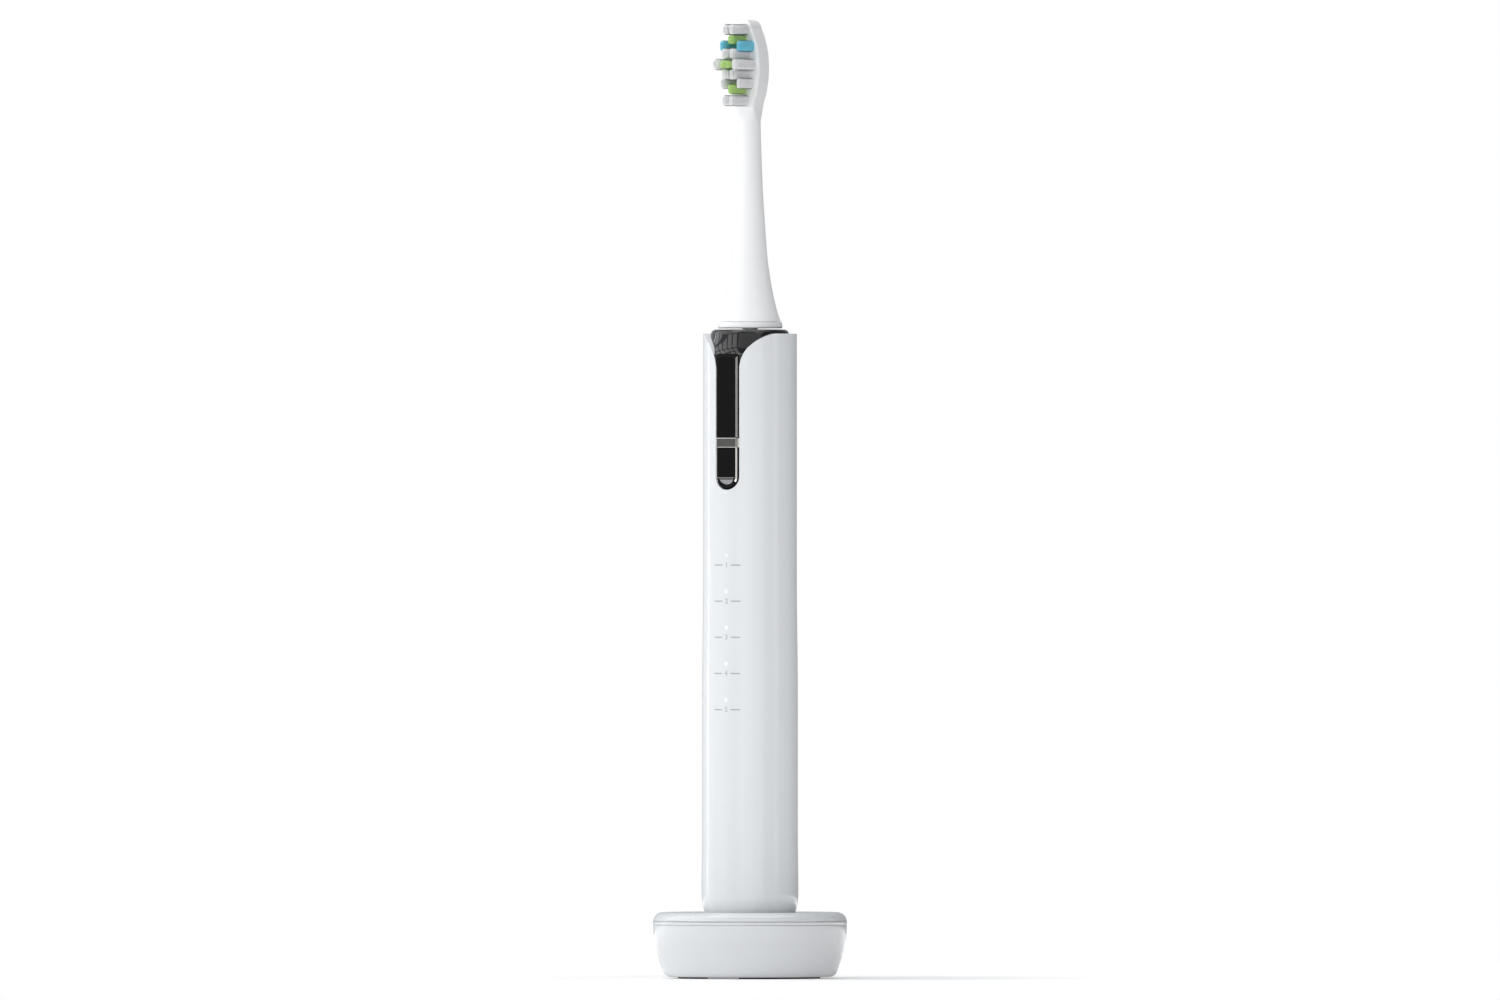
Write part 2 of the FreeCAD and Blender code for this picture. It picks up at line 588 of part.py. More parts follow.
pcb = block("board_blank", 0, "-(board_front)", "board_low", "2 * board_half", "board_thick",
            "board_high - board_low")
screw_holes = []
screws = []
for name, side in (("left", -1), ("right", 1)):
    turn = Rotation(Vector(1, 0, 0), 90)
    hole = rod(f"hole_{name}", f"{side} * cavity_radius / 3.4", "0", "screw_z", 0.75, 20)
    hole.Placement.Rotation = turn
    screw_holes.append(hole)
    head = rod(f"head_{name}", f"{side} * cavity_radius / 3.4", "-(board_front)", "screw_z",
               1.2, 0.6)
    head.Placement.Rotation = turn
    stem = rod(f"stem_{name}", f"{side} * cavity_radius / 3.4", "-board_front + board_thick",
               "screw_z", 0.7, "board_thick")
    stem.Placement.Rotation = turn
    screws.append(group(f"board_screw_{name}", "Part::MultiFuse", [head, stem]))
parts.append(less("main_circuit", pcb, group("board_holes", "Part::MultiFuse", screw_holes)))
parts.extend(screws)

lights = [block(f"emitter_{n}", 0, "1 - cavity_radius", f"light_low + {n} * light_pitch - 0.4",
                1.6, "cavity_radius - 1 - board_front", 0.8) for n in range(5)]
parts.append(group("mode_emitters", "Part::Compound", lights))
parts.append(block("controller_chip", 0, "-board_front - 0.9", "light_low + 4 * light_pitch + 7.54",
                   4.0, 0.9, 4.0))
parts.append(block("charge_chip", 0, "-board_front - 0.8", "board_low + 1.5", 3.0, 0.8, 2.4))

case = block("switch_case", 0, "0.4 - cavity_radius", "slot_end + 1.5", 4.0,
             "cavity_radius - 0.4 - board_front", 4.0)
well = rod("switch_well", 0, "1.3 - cavity_radius", "slot_end + 3.5", 1.15, 3.0)
well.Placement.Rotation = Rotation(Vector(1, 0, 0), 90)
parts.append(less("switch_body", case, well))
plunger = rod("switch_plunger", 0, "0.75 - cavity_radius", "slot_end + 3.5", 0.8, 0.85)
plunger.Placement.Rotation = Rotation(Vector(1, 0, 0), 90)
parts.append(plunger)

def across(share):
    """Radius inside the motor, part of the way from the spindle to the can."""
    return f"(spindle_radius + (motor_radius - spindle_radius) * {share})"


parts.append(turned("motor_end_cap", [
    (across(0.281), "motor_low + 1"), ("spindle_radius + 0.5", "motor_low + 1"),
    ("spindle_radius + 0.5", "motor_low + 0.2"), ("motor_radius", "motor_low + 0.2"),
    ("motor_radius", "motor_low + 2.4"), ("motor_radius - 0.7", "motor_low + 2.4"),
    ("motor_radius - 0.7", "motor_low + 4"), (across(0.281), "motor_low + 4")]))
parts.append(turned("rear_bearing", ring_points("spindle_radius + running_gap", across(0.272),
                                                "motor_low + 1.05", "motor_low + 3.6")))
parts.append(turned("motor_can", [
    ("motor_radius - 0.6", "motor_low + 2.5"), ("motor_radius", "motor_low + 2.5"),
    ("motor_radius", "motor_high"), (across(0.37), "motor_high"),
    (across(0.37), "motor_high - 1"), ("motor_radius - 0.6", "motor_high - 1")]))
parts.append(turned("front_bearing", [
    ("spindle_radius + running_gap", "motor_high - 3.2"), (across(0.72), "motor_high - 3.2"),
    (across(0.72), "motor_high - 1.05"), (across(0.36), "motor_high - 1.05"),
    (across(0.36), "motor_high - 0.1"), ("spindle_radius + running_gap", "motor_high - 0.1")]))
parts.append(turned("stator_coil", ring_points(across(0.56), "motor_radius - 0.65",
                                               "motor_low + 6", "motor_high - 8")))
parts.append(turned("motor_damper", [
    ("motor_radius + 0.02", "motor_high - 3.5"), ("cavity_radius - 0.1", "motor_high - 3.5"),
    ("cavity_radius - 0.1", "motor_high + 0.6"), (across(0.7), "motor_high + 0.6"),
    (across(0.7), "motor_high + 0.02"), ("motor_radius + 0.02", "motor_high + 0.02")]))

# ---------------------------------------------------------------- drive line

shaft = turned("drive_shaft", [
    (0, "motor_low + 1.2"), ("spindle_radius", "motor_low + 1.2"),
    ("spindle_radius", "motor_high + 2"), ("shaft_radius", "motor_high + 2.5"),
    ("shaft_radius", "shaft_top - 0.5"), ("shaft_radius - 0.5", "shaft_top"), (0, "shaft_top")])
cut_pocket(shaft, "drive_flat", "XY_Plane", "shaft_top + 1", 9,
           lambda s: rectangle(s, "-(shaft_radius)", "0.7 * shaft_radius", "shaft_radius",
                               "shaft_radius + 1"))
parts.append(shaft)
parts.append(turned("rotor_core", ring_points("spindle_radius + 0.01", across(0.298),
                                              "motor_low + 6", "motor_high - 8")))
for name, turn in (("north", 10), ("south", 190)):
    parts.append(turned(f"rotor_magnet_{name}", ring_points(across(0.302), across(0.49),
                                                           "motor_low + 7", "motor_high - 9"),
                        160, turn))

# ---------------------------------------------------------------- brush head

parts.append(turned("head_ring", [
    ("ring_radius - 2.6", "ring_low"), ("ring_radius - 0.2", "ring_low", 0.2),
    ("ring_radius", "ring_low + 0.2"), ("ring_radius", "ring_high"),
    ("ring_radius - 1.65", "ring_high"), ("ring_radius - 1.65", "ring_high + 1.7"),
    ("ring_radius - 2.6", "ring_high + 1.7")]))

# The plate's chamfer and the rows of tufts spread with the length of the plate.
SPREAD = "plate_length / 23.3"

head = turned("head_moulding", [
    ("ring_radius - 1.6", "ring_high + step_gap"),
    ("ring_radius - 0.55", "ring_high + step_gap", -24),
    ("neck_radius + 2.93", "ring_low + 10.6", -62), ("neck_radius + 1.76", "ring_low + 18.7"),
    ("neck_radius + 1.16", "ring_low + 26.9"), ("neck_radius + 0.64", "ring_low + 35"),
    ("neck_radius + 0.29", "ring_low + 43.1"), ("neck_radius", "neck_low"),
    ("neck_radius - 0.15", "plate_low + 4"), ("neck_radius - 1.6", "plate_mid + 3"),
    (0, "plate_mid + 3"), (0, "shaft_top + 1.6"), ("socket_radius", "shaft_top + 1.6"),
    ("socket_radius", "ring_high + 6"), ("ring_radius - 2.9", "ring_high + 2.4"),
    ("ring_radius - 1.6", "ring_high + 1.8")])
raise_pad(head, "plate", "XZ_Plane", "-(plate_back)", "plate_back + plate_front", lambda s: loop(s, [
    ("0.1 - neck_radius", "plate_low"), ("neck_radius - 0.1", "plate_low", 30),
    ("plate_half", "plate_mid", 26.3), (2.0, "plate_top - 0.8", 2.2),
    (0, "plate_top", 2.2), (-2.0, "plate_top - 0.8", 26.3), ("-(plate_half)", "plate_mid", 30)]))
soften(head, "plate_round", 0.9, flat_in("Y", value("plate_back")))
soften(head, "plate_throat", f"0.75 * {SPREAD}", lambda e: flat_in("Y", -value("plate_front"))(e)
       and flat_in("Z", value("plate_low"))(e), "PartDesign::Chamfer")

# Tuft rows: height above the middle of the field, sideways place, length, width, height.
ROWS = {
    "bristles_white": [
        (9.1, 1.05, 8.2, 1.6, 2.6), (2.8, 1.15, 8.3, 1.7, 2.9), (0, 2.85, 9.9, 1.8, 2.9),
        (-2.6, 1.15, 8.3, 1.7, 2.9), (-4.9, 2.4, 6.9, 1.5, 2.4), (-9.4, 1.05, 8.4, 1.6, 2.6)],
    "bristles_blue": [(4.8, 2.5, 7.0, 1.5, 2.4)],
    "bristles_green": [(6.5, 0, 7.0, 1.6, 2.1), (0, 0, 10.9, 1.6, 2.1), (-6.4, 0, 7.0, 1.6, 2.1)],
}


def tuft_outline(sketch, x, z, wide, high):
    """Upright slot shape with round ends."""
    half = f"({wide} / 2)"
    run = f"(({high} * {SPREAD} - {wide}) / 2)"
    middle = f"(field_mid + {z} * {SPREAD})"
    loop(sketch, [
        (f"{x} - {half}", f"{middle} + {run}"), (f"{x} - {half}", f"{middle} - {run}", half),
        (f"{x}", f"{middle} - {run} - {half}", half), (f"{x} + {half}", f"{middle} - {run}"),
        (f"{x} + {half}", f"{middle} + {run}", half),
        (f"{x}", f"{middle} + {run} + {half}", half)])


def columns(x):
    return [0] if x == 0 else [-x, x]


anchors = []
for label, rows in ROWS.items():
    tufts = []
    for number, (z, x, length, wide, high) in enumerate(rows):
        for column in columns(x):
            name = f"{label}_{number}_{'l' if column < 0 else 'r'}"
            outline = attach(None, name + "_outline", "XZ_Plane", "tuft_root")
            tuft_outline(outline, column, z, wide, high)
            tuft = doc.addObject("Part::Extrusion", name)
            tuft.Base = outline
            tuft.DirMode = "Custom"
            tuft.Dir = Vector(0, -1, 0)
            tuft.Solid = True
            bind(tuft, "LengthFwd", f"{length} + plate_front - tuft_root")
            tufts.append(tuft)
            anchors.append(block(name + "_anchor", column, "-(tuft_root)",
                                 f"field_mid + {z} * {SPREAD} - 0.15", wide - 0.5,
                                 "tuft_root - hole_floor", 0.3))
    parts.append(group(label, "Part::Compound", tufts))

parts.append(group("tuft_anchors", "Part::Compound", anchors))
lumps = [item for item in parts if item.Label.startswith(("bristles", "tuft_anchors"))]
parts.append(less("brush_head", head, group("tuft_lumps", "Part::Compound", lumps)))
parts.append(turned("head_socket", ring_points("shaft_radius + socket_gap", "socket_radius - 0.02",
                                               "ring_high + 6.2", "shaft_top + 1.4")))

# ---------------------------------------------------------------- check and write

doc.recompute()
for item in doc.Objects:
    troubles = [state for state in item.State if state in ("Invalid", "Error")]
    if troubles:
        raise RuntimeError(f"{item.Label}: {troubles}")
os.makedirs("parts", exist_ok=True)
for part in parts:
    if part.Shape.isNull() or not part.Shape.isValid():
        raise RuntimeError(f"{part.Label} has no valid shape")
    part.Shape.exportStep(f"parts/{part.Label}.step")
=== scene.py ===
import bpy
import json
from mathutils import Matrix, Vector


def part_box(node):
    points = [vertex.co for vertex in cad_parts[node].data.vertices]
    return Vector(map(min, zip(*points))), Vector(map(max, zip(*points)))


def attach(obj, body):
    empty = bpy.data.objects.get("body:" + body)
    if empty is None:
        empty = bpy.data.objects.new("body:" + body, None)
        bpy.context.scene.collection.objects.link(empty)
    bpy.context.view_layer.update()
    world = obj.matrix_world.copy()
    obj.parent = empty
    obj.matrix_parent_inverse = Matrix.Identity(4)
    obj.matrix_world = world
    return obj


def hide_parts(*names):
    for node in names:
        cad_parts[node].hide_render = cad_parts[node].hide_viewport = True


bl_info = {
    "name": "Toothbrush on Charger",
    "version": (1, 0, 0),
    "blender": (4, 5, 0),
    "location": "View3D > Sidebar > Toothbrush",
    "description": "Builds the visible pieces of an electric toothbrush standing on its charger",
    "category": "Object",
}

import json
import math

import bpy
from bpy.props import FloatProperty, FloatVectorProperty, IntProperty, PointerProperty
from mathutils import Vector

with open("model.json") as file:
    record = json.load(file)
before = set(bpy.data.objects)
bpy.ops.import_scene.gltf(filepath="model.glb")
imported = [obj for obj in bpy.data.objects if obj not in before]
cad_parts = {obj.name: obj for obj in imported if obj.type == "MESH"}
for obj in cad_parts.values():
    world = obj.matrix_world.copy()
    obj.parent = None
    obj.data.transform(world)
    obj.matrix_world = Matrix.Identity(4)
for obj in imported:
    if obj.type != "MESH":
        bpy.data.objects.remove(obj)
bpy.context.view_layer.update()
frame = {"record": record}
MM = 0.001
FULL_TURN = math.tau


def high(node):
    """Upper corner of a CAD node, in metres."""
    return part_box(node)[1]


def low(node):
    """Lower corner of a CAD node, in metres."""
    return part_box(node)[0]


# ------------------------------------------------------------------ settings

def length(name, description, millimetres):
    """Size setting, given in millimetres."""
    return FloatProperty(name=name, description=description, default=millimetres * MM,
                         unit="LENGTH", precision=5)


def tint(name, description, colour):
    """Colour setting."""
    return FloatVectorProperty(name=name, description=description, default=colour,
                               subtype="COLOR", size=3, min=0.0, max=1.0)


class ToothbrushSizes(bpy.types.PropertyGroup):
    grip_radius: length("Grip radius", "Outer radius of the upper grip", 12.2)
    lower_radius: length("Lower radius", "Outer radius of the lower grip", 12.45)
    belly_radius: length("Belly radius", "Fullest radius, just above the charger", 12.6)
    bottom_radius: length("Bottom radius", "Radius of the grip's drawn-in bottom", 10.7)
    wall: length("Wall", "Wall of the grip at the front opening", 2.0)
    slot_half: length("Slot half width", "Half width of the slot for strip and button", 3.5)
    gap: length("Gap", "Shadow gap round the strip and the button", 0.1)
    strip_front: length("Strip front", "Distance of the flat strip from the axis", 12.4)
    edge_wide: length("Edge width", "Width of the strip's polished edge", 0.34)
    edge_deep: length("Edge depth", "Depth of the strip's polished edge", 0.55)
    lip_wide: length("Lip width", "Width of the black lip round strip and button", 0.28)
    lip_deep: length("Lip depth", "Depth of the black lip below the strip's front", 0.95)
    filament: length("Filament", "Thickness of one filament of the brush", 0.25)
    around: IntProperty(name="Segments", description="Segments round the turned pieces",
                        default=128, min=24, max=256)


class ToothbrushColours(bpy.types.PropertyGroup):
    white: tint("White", "Gloss white of the grip and the charger", (0.80, 0.815, 0.83))
    head_white: tint("Head white", "White of the brush head", (0.92, 0.925, 0.93))
    black: tint("Black", "Gloss black of the collar", (0.006, 0.006, 0.007))
    strip_black: tint("Strip black", "Satin black of strip and button", (0.0045, 0.0045, 0.005))
    edge: tint("Edge", "Polished edge of the strip", (0.88, 0.85, 0.80))
    band: tint("Band", "Satin metal band", (0.12, 0.12, 0.115))
    print_grey: tint("Print", "Grey print of the mode marks", (0.42, 0.43, 0.45))
    blue: tint("Blue", "Blue filaments", (0.22, 0.76, 0.99))
    green: tint("Green", "Green filaments", (0.60, 0.92, 0.28))
    pale: tint("Pale", "White filaments", (0.98, 0.98, 0.99))


def sizes():
    return bpy.context.scene.toothbrush_sizes


def colours():
    return bpy.context.scene.toothbrush_colours


# ------------------------------------------------------------------ finishes

def new_finish(name, colour, roughness, metallic=0.0, specular=0.5, coat=0.0):
    """Principled material with object coordinates ready for its patterns."""
    finish = bpy.data.materials.new(name)
    finish.use_nodes = True
    nodes = finish.node_tree.nodes
    shader = nodes["Principled BSDF"]
    shader.inputs["Base Color"].default_value = (*colour, 1.0)
    shader.inputs["Roughness"].default_value = roughness
    shader.inputs["Metallic"].default_value = metallic
    shader.inputs["Specular IOR Level"].default_value = specular
    shader.inputs["Coat Weight"].default_value = coat
    shader.inputs["Coat Roughness"].default_value = 0.04
    spot = nodes.new("ShaderNodeTexCoord")
    return finish, shader, spot.outputs["Object"]


def noise(finish, place, scale, detail=3.0, stretch=(1, 1, 1)):
    """Object-space noise, stretched along an axis where the grain runs one way."""
    tree = finish.node_tree
    mapping = tree.nodes.new("ShaderNodeMapping")
    mapping.inputs["Scale"].default_value = stretch
    texture = tree.nodes.new("ShaderNodeTexNoise")
    texture.inputs["Scale"].default_value = scale
    texture.inputs["Detail"].default_value = detail
    tree.links.new(place, mapping.inputs["Vector"])
    tree.links.new(mapping.outputs["Vector"], texture.inputs["Vector"])
    return texture.outputs["Fac"]


NOISE_RANGE = (0.3, 0.7)


def map_range(tree, value, source, target, socket):
    """Feed a value into a socket, mapped from one range to another."""
    span = tree.nodes.new("ShaderNodeMapRange")
    span.inputs["From Min"].default_value, span.inputs["From Max"].default_value = source
    span.inputs["To Min"].default_value, span.inputs["To Max"].default_value = target
    tree.links.new(value, span.inputs["Value"])
    tree.links.new(span.outputs["Result"], socket)


def vary(finish, factor, lowest, highest, socket):
    """Feed a noise into a socket between two values."""
    map_range(finish.node_tree, factor, NOISE_RANGE, (lowest, highest), socket)


def blend_colour(finish, factor, first, second, socket):
    """Feed a noise into a colour socket between two colours."""
    tree = finish.node_tree
    ramp = tree.nodes.new("ShaderNodeValToRGB")
    for stop, position, colour in zip(ramp.color_ramp.elements, NOISE_RANGE, (first, second)):
        stop.position = position
        stop.color = (*colour, 1.0)
    tree.links.new(factor, ramp.inputs["Fac"])
    tree.links.new(ramp.outputs["Color"], socket)


def relief(finish, factor, shader, strength, depth):
    """Raise and lower the surface by a noise."""
    tree = finish.node_tree
    bump = tree.nodes.new("ShaderNodeBump")
    bump.inputs["Strength"].default_value = strength
    bump.inputs["Distance"].default_value = depth
    tree.links.new(factor, bump.inputs["Height"])
    tree.links.new(bump.outputs["Normal"], shader.inputs["Normal"])


def shade(colour, factor):
    """Colour made darker or lighter."""
    return tuple(min(1.0, channel * factor) for channel in colour)


def gloss_moulding(name, colour, roughness=0.14, coat=0.35, swirl=0.985, specular=0.5,
                   grain=(22.0, 0.25)):
    """Polished injection moulding: faint flow marks, a whisper of orange peel."""
    finish, shader, place = new_finish(name, colour, roughness, specular=specular, coat=coat)
    flow = noise(finish, place, grain[0], 2.0, (1, 1, grain[1]))
    blend_colour(finish, flow, shade(colour, swirl), colour, shader.inputs["Base Color"])
    vary(finish, noise(finish, place, 90.0), roughness * 0.85, roughness * 1.2,
         shader.inputs["Roughness"])
    relief(finish, noise(finish, place, 260.0, 1.0), shader, 0.06, 0.00002)
    return finish


def satin_moulding(name, colour, roughness=0.42, specular=0.35, grain=0.12):
    """Fine spark-eroded texture as on soft-touch and satin mouldings."""
    finish, shader, place = new_finish(name, colour, roughness, specular=specular)
    fine = noise(finish, place, 3200.0, 2.0)
    vary(finish, noise(finish, place, 140.0), roughness * 0.9, roughness * 1.12,
         shader.inputs["Roughness"])
    relief(finish, fine, shader, grain, 0.00003)
    return finish


def brushed_metal(name, colour, roughness=0.3, stretch=(1, 1, 14)):
    """Machined metal with fine lines across the stretch axis."""
    finish, shader, place = new_finish(name, colour, roughness, metallic=1.0)
    lines = noise(finish, place, 900.0, 3.0, stretch)
    vary(finish, lines, roughness * 0.75, roughness * 1.3, shader.inputs["Roughness"])
    relief(finish, lines, shader, 0.08, 0.00001)
    return finish


def filament_finish(name, colour, deep):
    """Extruded nylon: slightly translucent, streaked along its length."""
    finish, shader, place = new_finish(name, colour, 0.38, specular=0.4)
    streak = noise(finish, place, 2600.0, 2.0, (1, 0.04, 1))
    blend_colour(finish, streak, deep, colour, shader.inputs["Base Color"])
    vary(finish, streak, 0.3, 0.46, shader.inputs["Roughness"])
    shader.inputs["Subsurface Weight"].default_value = 0.35
    shader.inputs["Subsurface Radius"].default_value = (0.0012, 0.0012, 0.0012)
    shader.inputs["Subsurface Scale"].default_value = 1.0
    return finish


def rubber_finish(name, colour):
    """Dull rubber with a fine grain."""
    finish, shader, place = new_finish(name, colour, 0.72, specular=0.25)
    vary(finish, noise(finish, place, 500.0), 0.62, 0.8, shader.inputs["Roughness"])
    relief(finish, noise(finish, place, 1800.0), shader, 0.2, 0.00004)
    return finish


def winding_finish(name, colour):
    """Enamelled wire laid turn by turn, with painted shade in the grooves between turns."""
    finish, shader, place = new_finish(name, colour, 0.3, metallic=0.8)
    tree = finish.node_tree
    turns = tree.nodes.new("ShaderNodeTexWave")
    turns.bands_direction = "Z"
    turns.inputs["Scale"].default_value = 900.0
    turns.inputs["Distortion"].default_value = 0.6
    tree.links.new(place, turns.inputs["Vector"])
    # The grooves between turns are painted darker, as painted shade.
    blend_colour(finish, turns.outputs["Fac"], shade(colour, 0.45), colour,
                 shader.inputs["Base Color"])
    relief(finish, turns.outputs["Fac"], shader, 0.4, 0.00008)
    return finish


def board_finish(name, colour):
    """Solder mask with faint tracks beneath."""
    finish, shader, place = new_finish(name, colour, 0.3)
    tree = finish.node_tree
    tracks = tree.nodes.new("ShaderNodeTexVoronoi")
    tracks.distance = "MANHATTAN"
    tracks.inputs["Scale"].default_value = 420.0
    tree.links.new(place, tracks.inputs["Vector"])
    blend_colour(finish, tracks.outputs["Distance"], shade(colour, 1.5), colour,
                 shader.inputs["Base Color"])
    return finish


FINISHES = {}


def make_finishes():
    """One material for each finish of the object, by the record's slot names."""
    tone = colours()
    white, black = tuple(tone.white), tuple(tone.black)
    strip_black, pale = tuple(tone.strip_black), tuple(tone.pale)
    blue, green = tuple(tone.blue), tuple(tone.green)
    steel = (0.62, 0.63, 0.65)
    FINISHES.update({
        "shell_white": gloss_moulding("grip white", white, swirl=0.96, grain=(240.0, 0.01)),
        # The charger takes the grip's white a tenth darker: painted shade that offsets the floor's
        # light on the base.
        "base_white": gloss_moulding("charger white", shade(white, 0.9), 0.16),
        "head_white": gloss_moulding("head white", tuple(tone.head_white), 0.34, 0.0),
        "gloss_black": gloss_moulding("collar black", black, 0.05, 0.3, 0.9, specular=0.45),
        # The key's sloping facet is painted grey: a painted reflection of light from below on the
        # black plastic.
        "key_facet_painted_reflection": gloss_moulding("key facet painted reflection", (0.3, 0.3, 0.31), 0.3, 0.0),
        "satin_black": satin_moulding("strip black", strip_black, 0.5, 0.08),
        "polished_edge": brushed_metal("polished edge", tuple(tone.edge), 0.22),
        "band_silver": brushed_metal("band metal", tuple(tone.band), 0.42, (14, 1, 1)),
        "lens_white": gloss_moulding("lens white", (0.93, 0.94, 0.95), 0.1),
        "bristle_white": filament_finish("white filament", pale, shade(pale, 0.95)),
        "bristle_blue": filament_finish("blue filament", blue, shade(blue, 0.85)),
        "bristle_green": filament_finish("green filament", green, shade(green, 0.85)),
        "rubber_dark": rubber_finish("dark rubber", (0.03, 0.03, 0.032)),
        "steel": brushed_metal("steel", steel, 0.26),
        "copper": winding_finish("copper wire", (0.74, 0.36, 0.17)),
        "board_green": board_finish("circuit board", (0.03, 0.2, 0.08)),
        "cell_wrap": satin_moulding("cell sleeve", (0.05, 0.16, 0.38), 0.3, 0.5, 0.03),
        "chassis_grey": satin_moulding("chassis grey", (0.48, 0.49, 0.5), 0.5),
        "magnet": brushed_metal("magnet plating", (0.7, 0.69, 0.68), 0.12),
        "ferrite": satin_moulding("ferrite", (0.04, 0.04, 0.045), 0.6, 0.4, 0.3),
        "chip_black": satin_moulding("moulded package", (0.02, 0.02, 0.022), 0.55, 0.4, 0.2),
        "print_grey": satin_moulding("mark print", tuple(tone.print_grey), 0.5, 0.2, 0.0),
    })


# ------------------------------------------------------------------ modelling helpers

def put_down():
    """Leave edit mode with nothing picked."""
    if bpy.context.object and bpy.context.object.mode != "OBJECT":
        bpy.ops.object.mode_set(mode="OBJECT")
    bpy.ops.object.select_all(action="DESELECT")
    bpy.context.view_layer.objects.active = None


def pick(piece):
    """Make a piece the only one picked."""
    put_down()
    piece.select_set(True)
    bpy.context.view_layer.objects.active = piece


def unpick(kind):
    """Clear what is picked in the active mesh and say what is picked next."""
    bpy.ops.object.mode_set(mode="EDIT")
    bpy.ops.mesh.select_mode(type=kind)
    bpy.ops.mesh.select_all(action="DESELECT")
    bpy.ops.object.mode_set(mode="OBJECT")


def clean(piece, merge=0.000001):
    """Merge doubles and turn the faces outwards."""
    pick(piece)
    bpy.ops.object.mode_set(mode="EDIT")
    bpy.ops.mesh.select_all(action="SELECT")
    bpy.ops.mesh.remove_doubles(threshold=merge)
    bpy.ops.mesh.normals_make_consistent(inside=False)
    bpy.ops.object.mode_set(mode="OBJECT")


def finish_piece(piece, body, slot, nodes=(), smooth=34, extra=()):
    """Smooth a piece, give it its finish, tie it to its body and hide the CAD nodes it stands for.
    """
    pick(piece)
    bpy.ops.object.shade_smooth_by_angle(angle=math.radians(smooth))
    for name in (slot, *extra):
        piece.data.materials.append(FINISHES[name])
    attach(piece, body)
    if nodes:
        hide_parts(*nodes)
    put_down()


def use_modifier(piece, kind, **settings):
    """Add a modifier and apply it."""
    pick(piece)
    modifier = piece.modifiers.new(kind.title(), kind)
    for key, value in settings.items():
        setattr(modifier, key, value)
    bpy.ops.object.modifier_apply(modifier=modifier.name)


def join(name, pieces):
    """Join pieces into the first, under a name."""
    put_down()
    for piece in pieces:
        piece.select_set(True)
    bpy.context.view_layer.objects.active = pieces[0]
    bpy.ops.object.join()
    pieces[0].name = name
    return pieces[0]


def trace(name, points):
    """Pull one point along a path by extrusion; ends in edit mode."""
    put_down()
    bpy.ops.mesh.primitive_plane_add(size=MM)
    piece = bpy.context.object
    piece.name = name
    bpy.ops.object.mode_set(mode="EDIT")
    bpy.ops.mesh.select_mode(type="VERT")
    bpy.ops.mesh.select_all(action="SELECT")
    bpy.ops.mesh.merge(type="CENTER")
    bpy.ops.transform.translate(value=points[0])
    for here, there in zip(points, points[1:]):
        step = Vector(there) - Vector(here)
        bpy.ops.mesh.extrude_vertices_move(TRANSFORM_OT_translate={"value": step})
    return piece


def rounded(corners, steps=7):
    """Outline in millimetres; a third number on a corner rounds it by that radius."""
    count = len(corners)
    path = []
    for i, corner in enumerate(corners):
        here = Vector(corner[:2])
        if len(corner) < 3 or i in (0, count - 1):
            path.append(here)
            continue
        before = (Vector(corners[i - 1][:2]) - here).normalized()
        after = (Vector(corners[i + 1][:2]) - here).normalized()
        half = before.angle(after) / 2
        back = corner[2] / math.tan(half)
        centre = here + (before + after).normalized() * corner[2] / math.sin(half)
        start, stop = here + before * back, here + after * back
        for k in range(steps + 1):
            spoke = (start - centre).lerp(stop - centre, k / steps)
            path.append(centre + spoke.normalized() * corner[2])
    return path


def arc(start, stop, radius, steps=16):
    """Points of a bulging arc between two profile points, without the first."""
    a, b = Vector(start), Vector(stop)
    chord = b - a
    side = Vector((chord.y, -chord.x)).normalized()
    rise = math.sqrt(radius * radius - chord.length_squared / 4)
    centre = (a + b) / 2 - side * rise
    return [centre + (a - centre).slerp(b - centre, k / steps).normalized() * radius
            for k in range(1, steps + 1)]


def spun(name, outline, closed=True):
    """Turn an (r, z) outline, given in millimetres, about the Z axis."""
    path = [(p[0] * MM, 0.0, p[1] * MM) for p in outline]
    if closed:
        path.append(path[0])
    piece = trace(name, path)
    bpy.ops.mesh.select_all(action="SELECT")
    bpy.ops.mesh.spin(steps=sizes().around, angle=FULL_TURN, center=(0, 0, 0), axis=(0, 0, 1))
    clean(piece)
    return piece


def laid_grid(name, across, along, place):
    """Grid whose points are laid on a surface; place(u, v) gives x, y, z in metres."""
    put_down()
    bpy.ops.mesh.primitive_grid_add(x_subdivisions=across, y_subdivisions=along, size=1.0)
    piece = bpy.context.object
    piece.name = name
    for point in piece.data.vertices:
        point.co = place(round((point.co.x + 0.5) * across) / across,
                         round((point.co.y + 0.5) * along) / along)
    clean(piece)
    outward = sum(face.normal.x * face.center.x + face.normal.y * face.center.y
                  for face in piece.data.polygons)
    if outward < 0:
        pick(piece)
        bpy.ops.object.mode_set(mode="EDIT")
        bpy.ops.mesh.select_all(action="SELECT")
        bpy.ops.mesh.flip_normals()
        bpy.ops.object.mode_set(mode="OBJECT")
    return piece


def slab(name, outline, front, back):
    """Flat (x, z) outline in millimetres pulled from a back plane to a front plane."""
    path = [(p[0] * MM, -back * MM, p[1] * MM) for p in outline]
    piece = trace(name, path)
    bpy.ops.mesh.select_all(action="SELECT")
    bpy.ops.mesh.edge_face_add()
    bpy.ops.mesh.extrude_region_move(
        TRANSFORM_OT_translate={"value": (0, -(front - back) * MM, 0)})
    clean(piece)
    return piece


def smoothstep(low_edge, high_edge, value):
    """Smooth rise from 0 to 1 between two edges."""
    t = min(1.0, max(0.0, (value - low_edge) / (high_edge - low_edge)))
    return t * t * (3 - 2 * t)


def between(pairs, value):
    """Straight interpolation in a short list of (place, size) pairs."""
    for (a, x), (b, y) in zip(pairs, pairs[1:]):
        if value <= b:
            return x + (y - x) * max(0.0, (value - a) / (b - a))
    return pairs[-1][1]


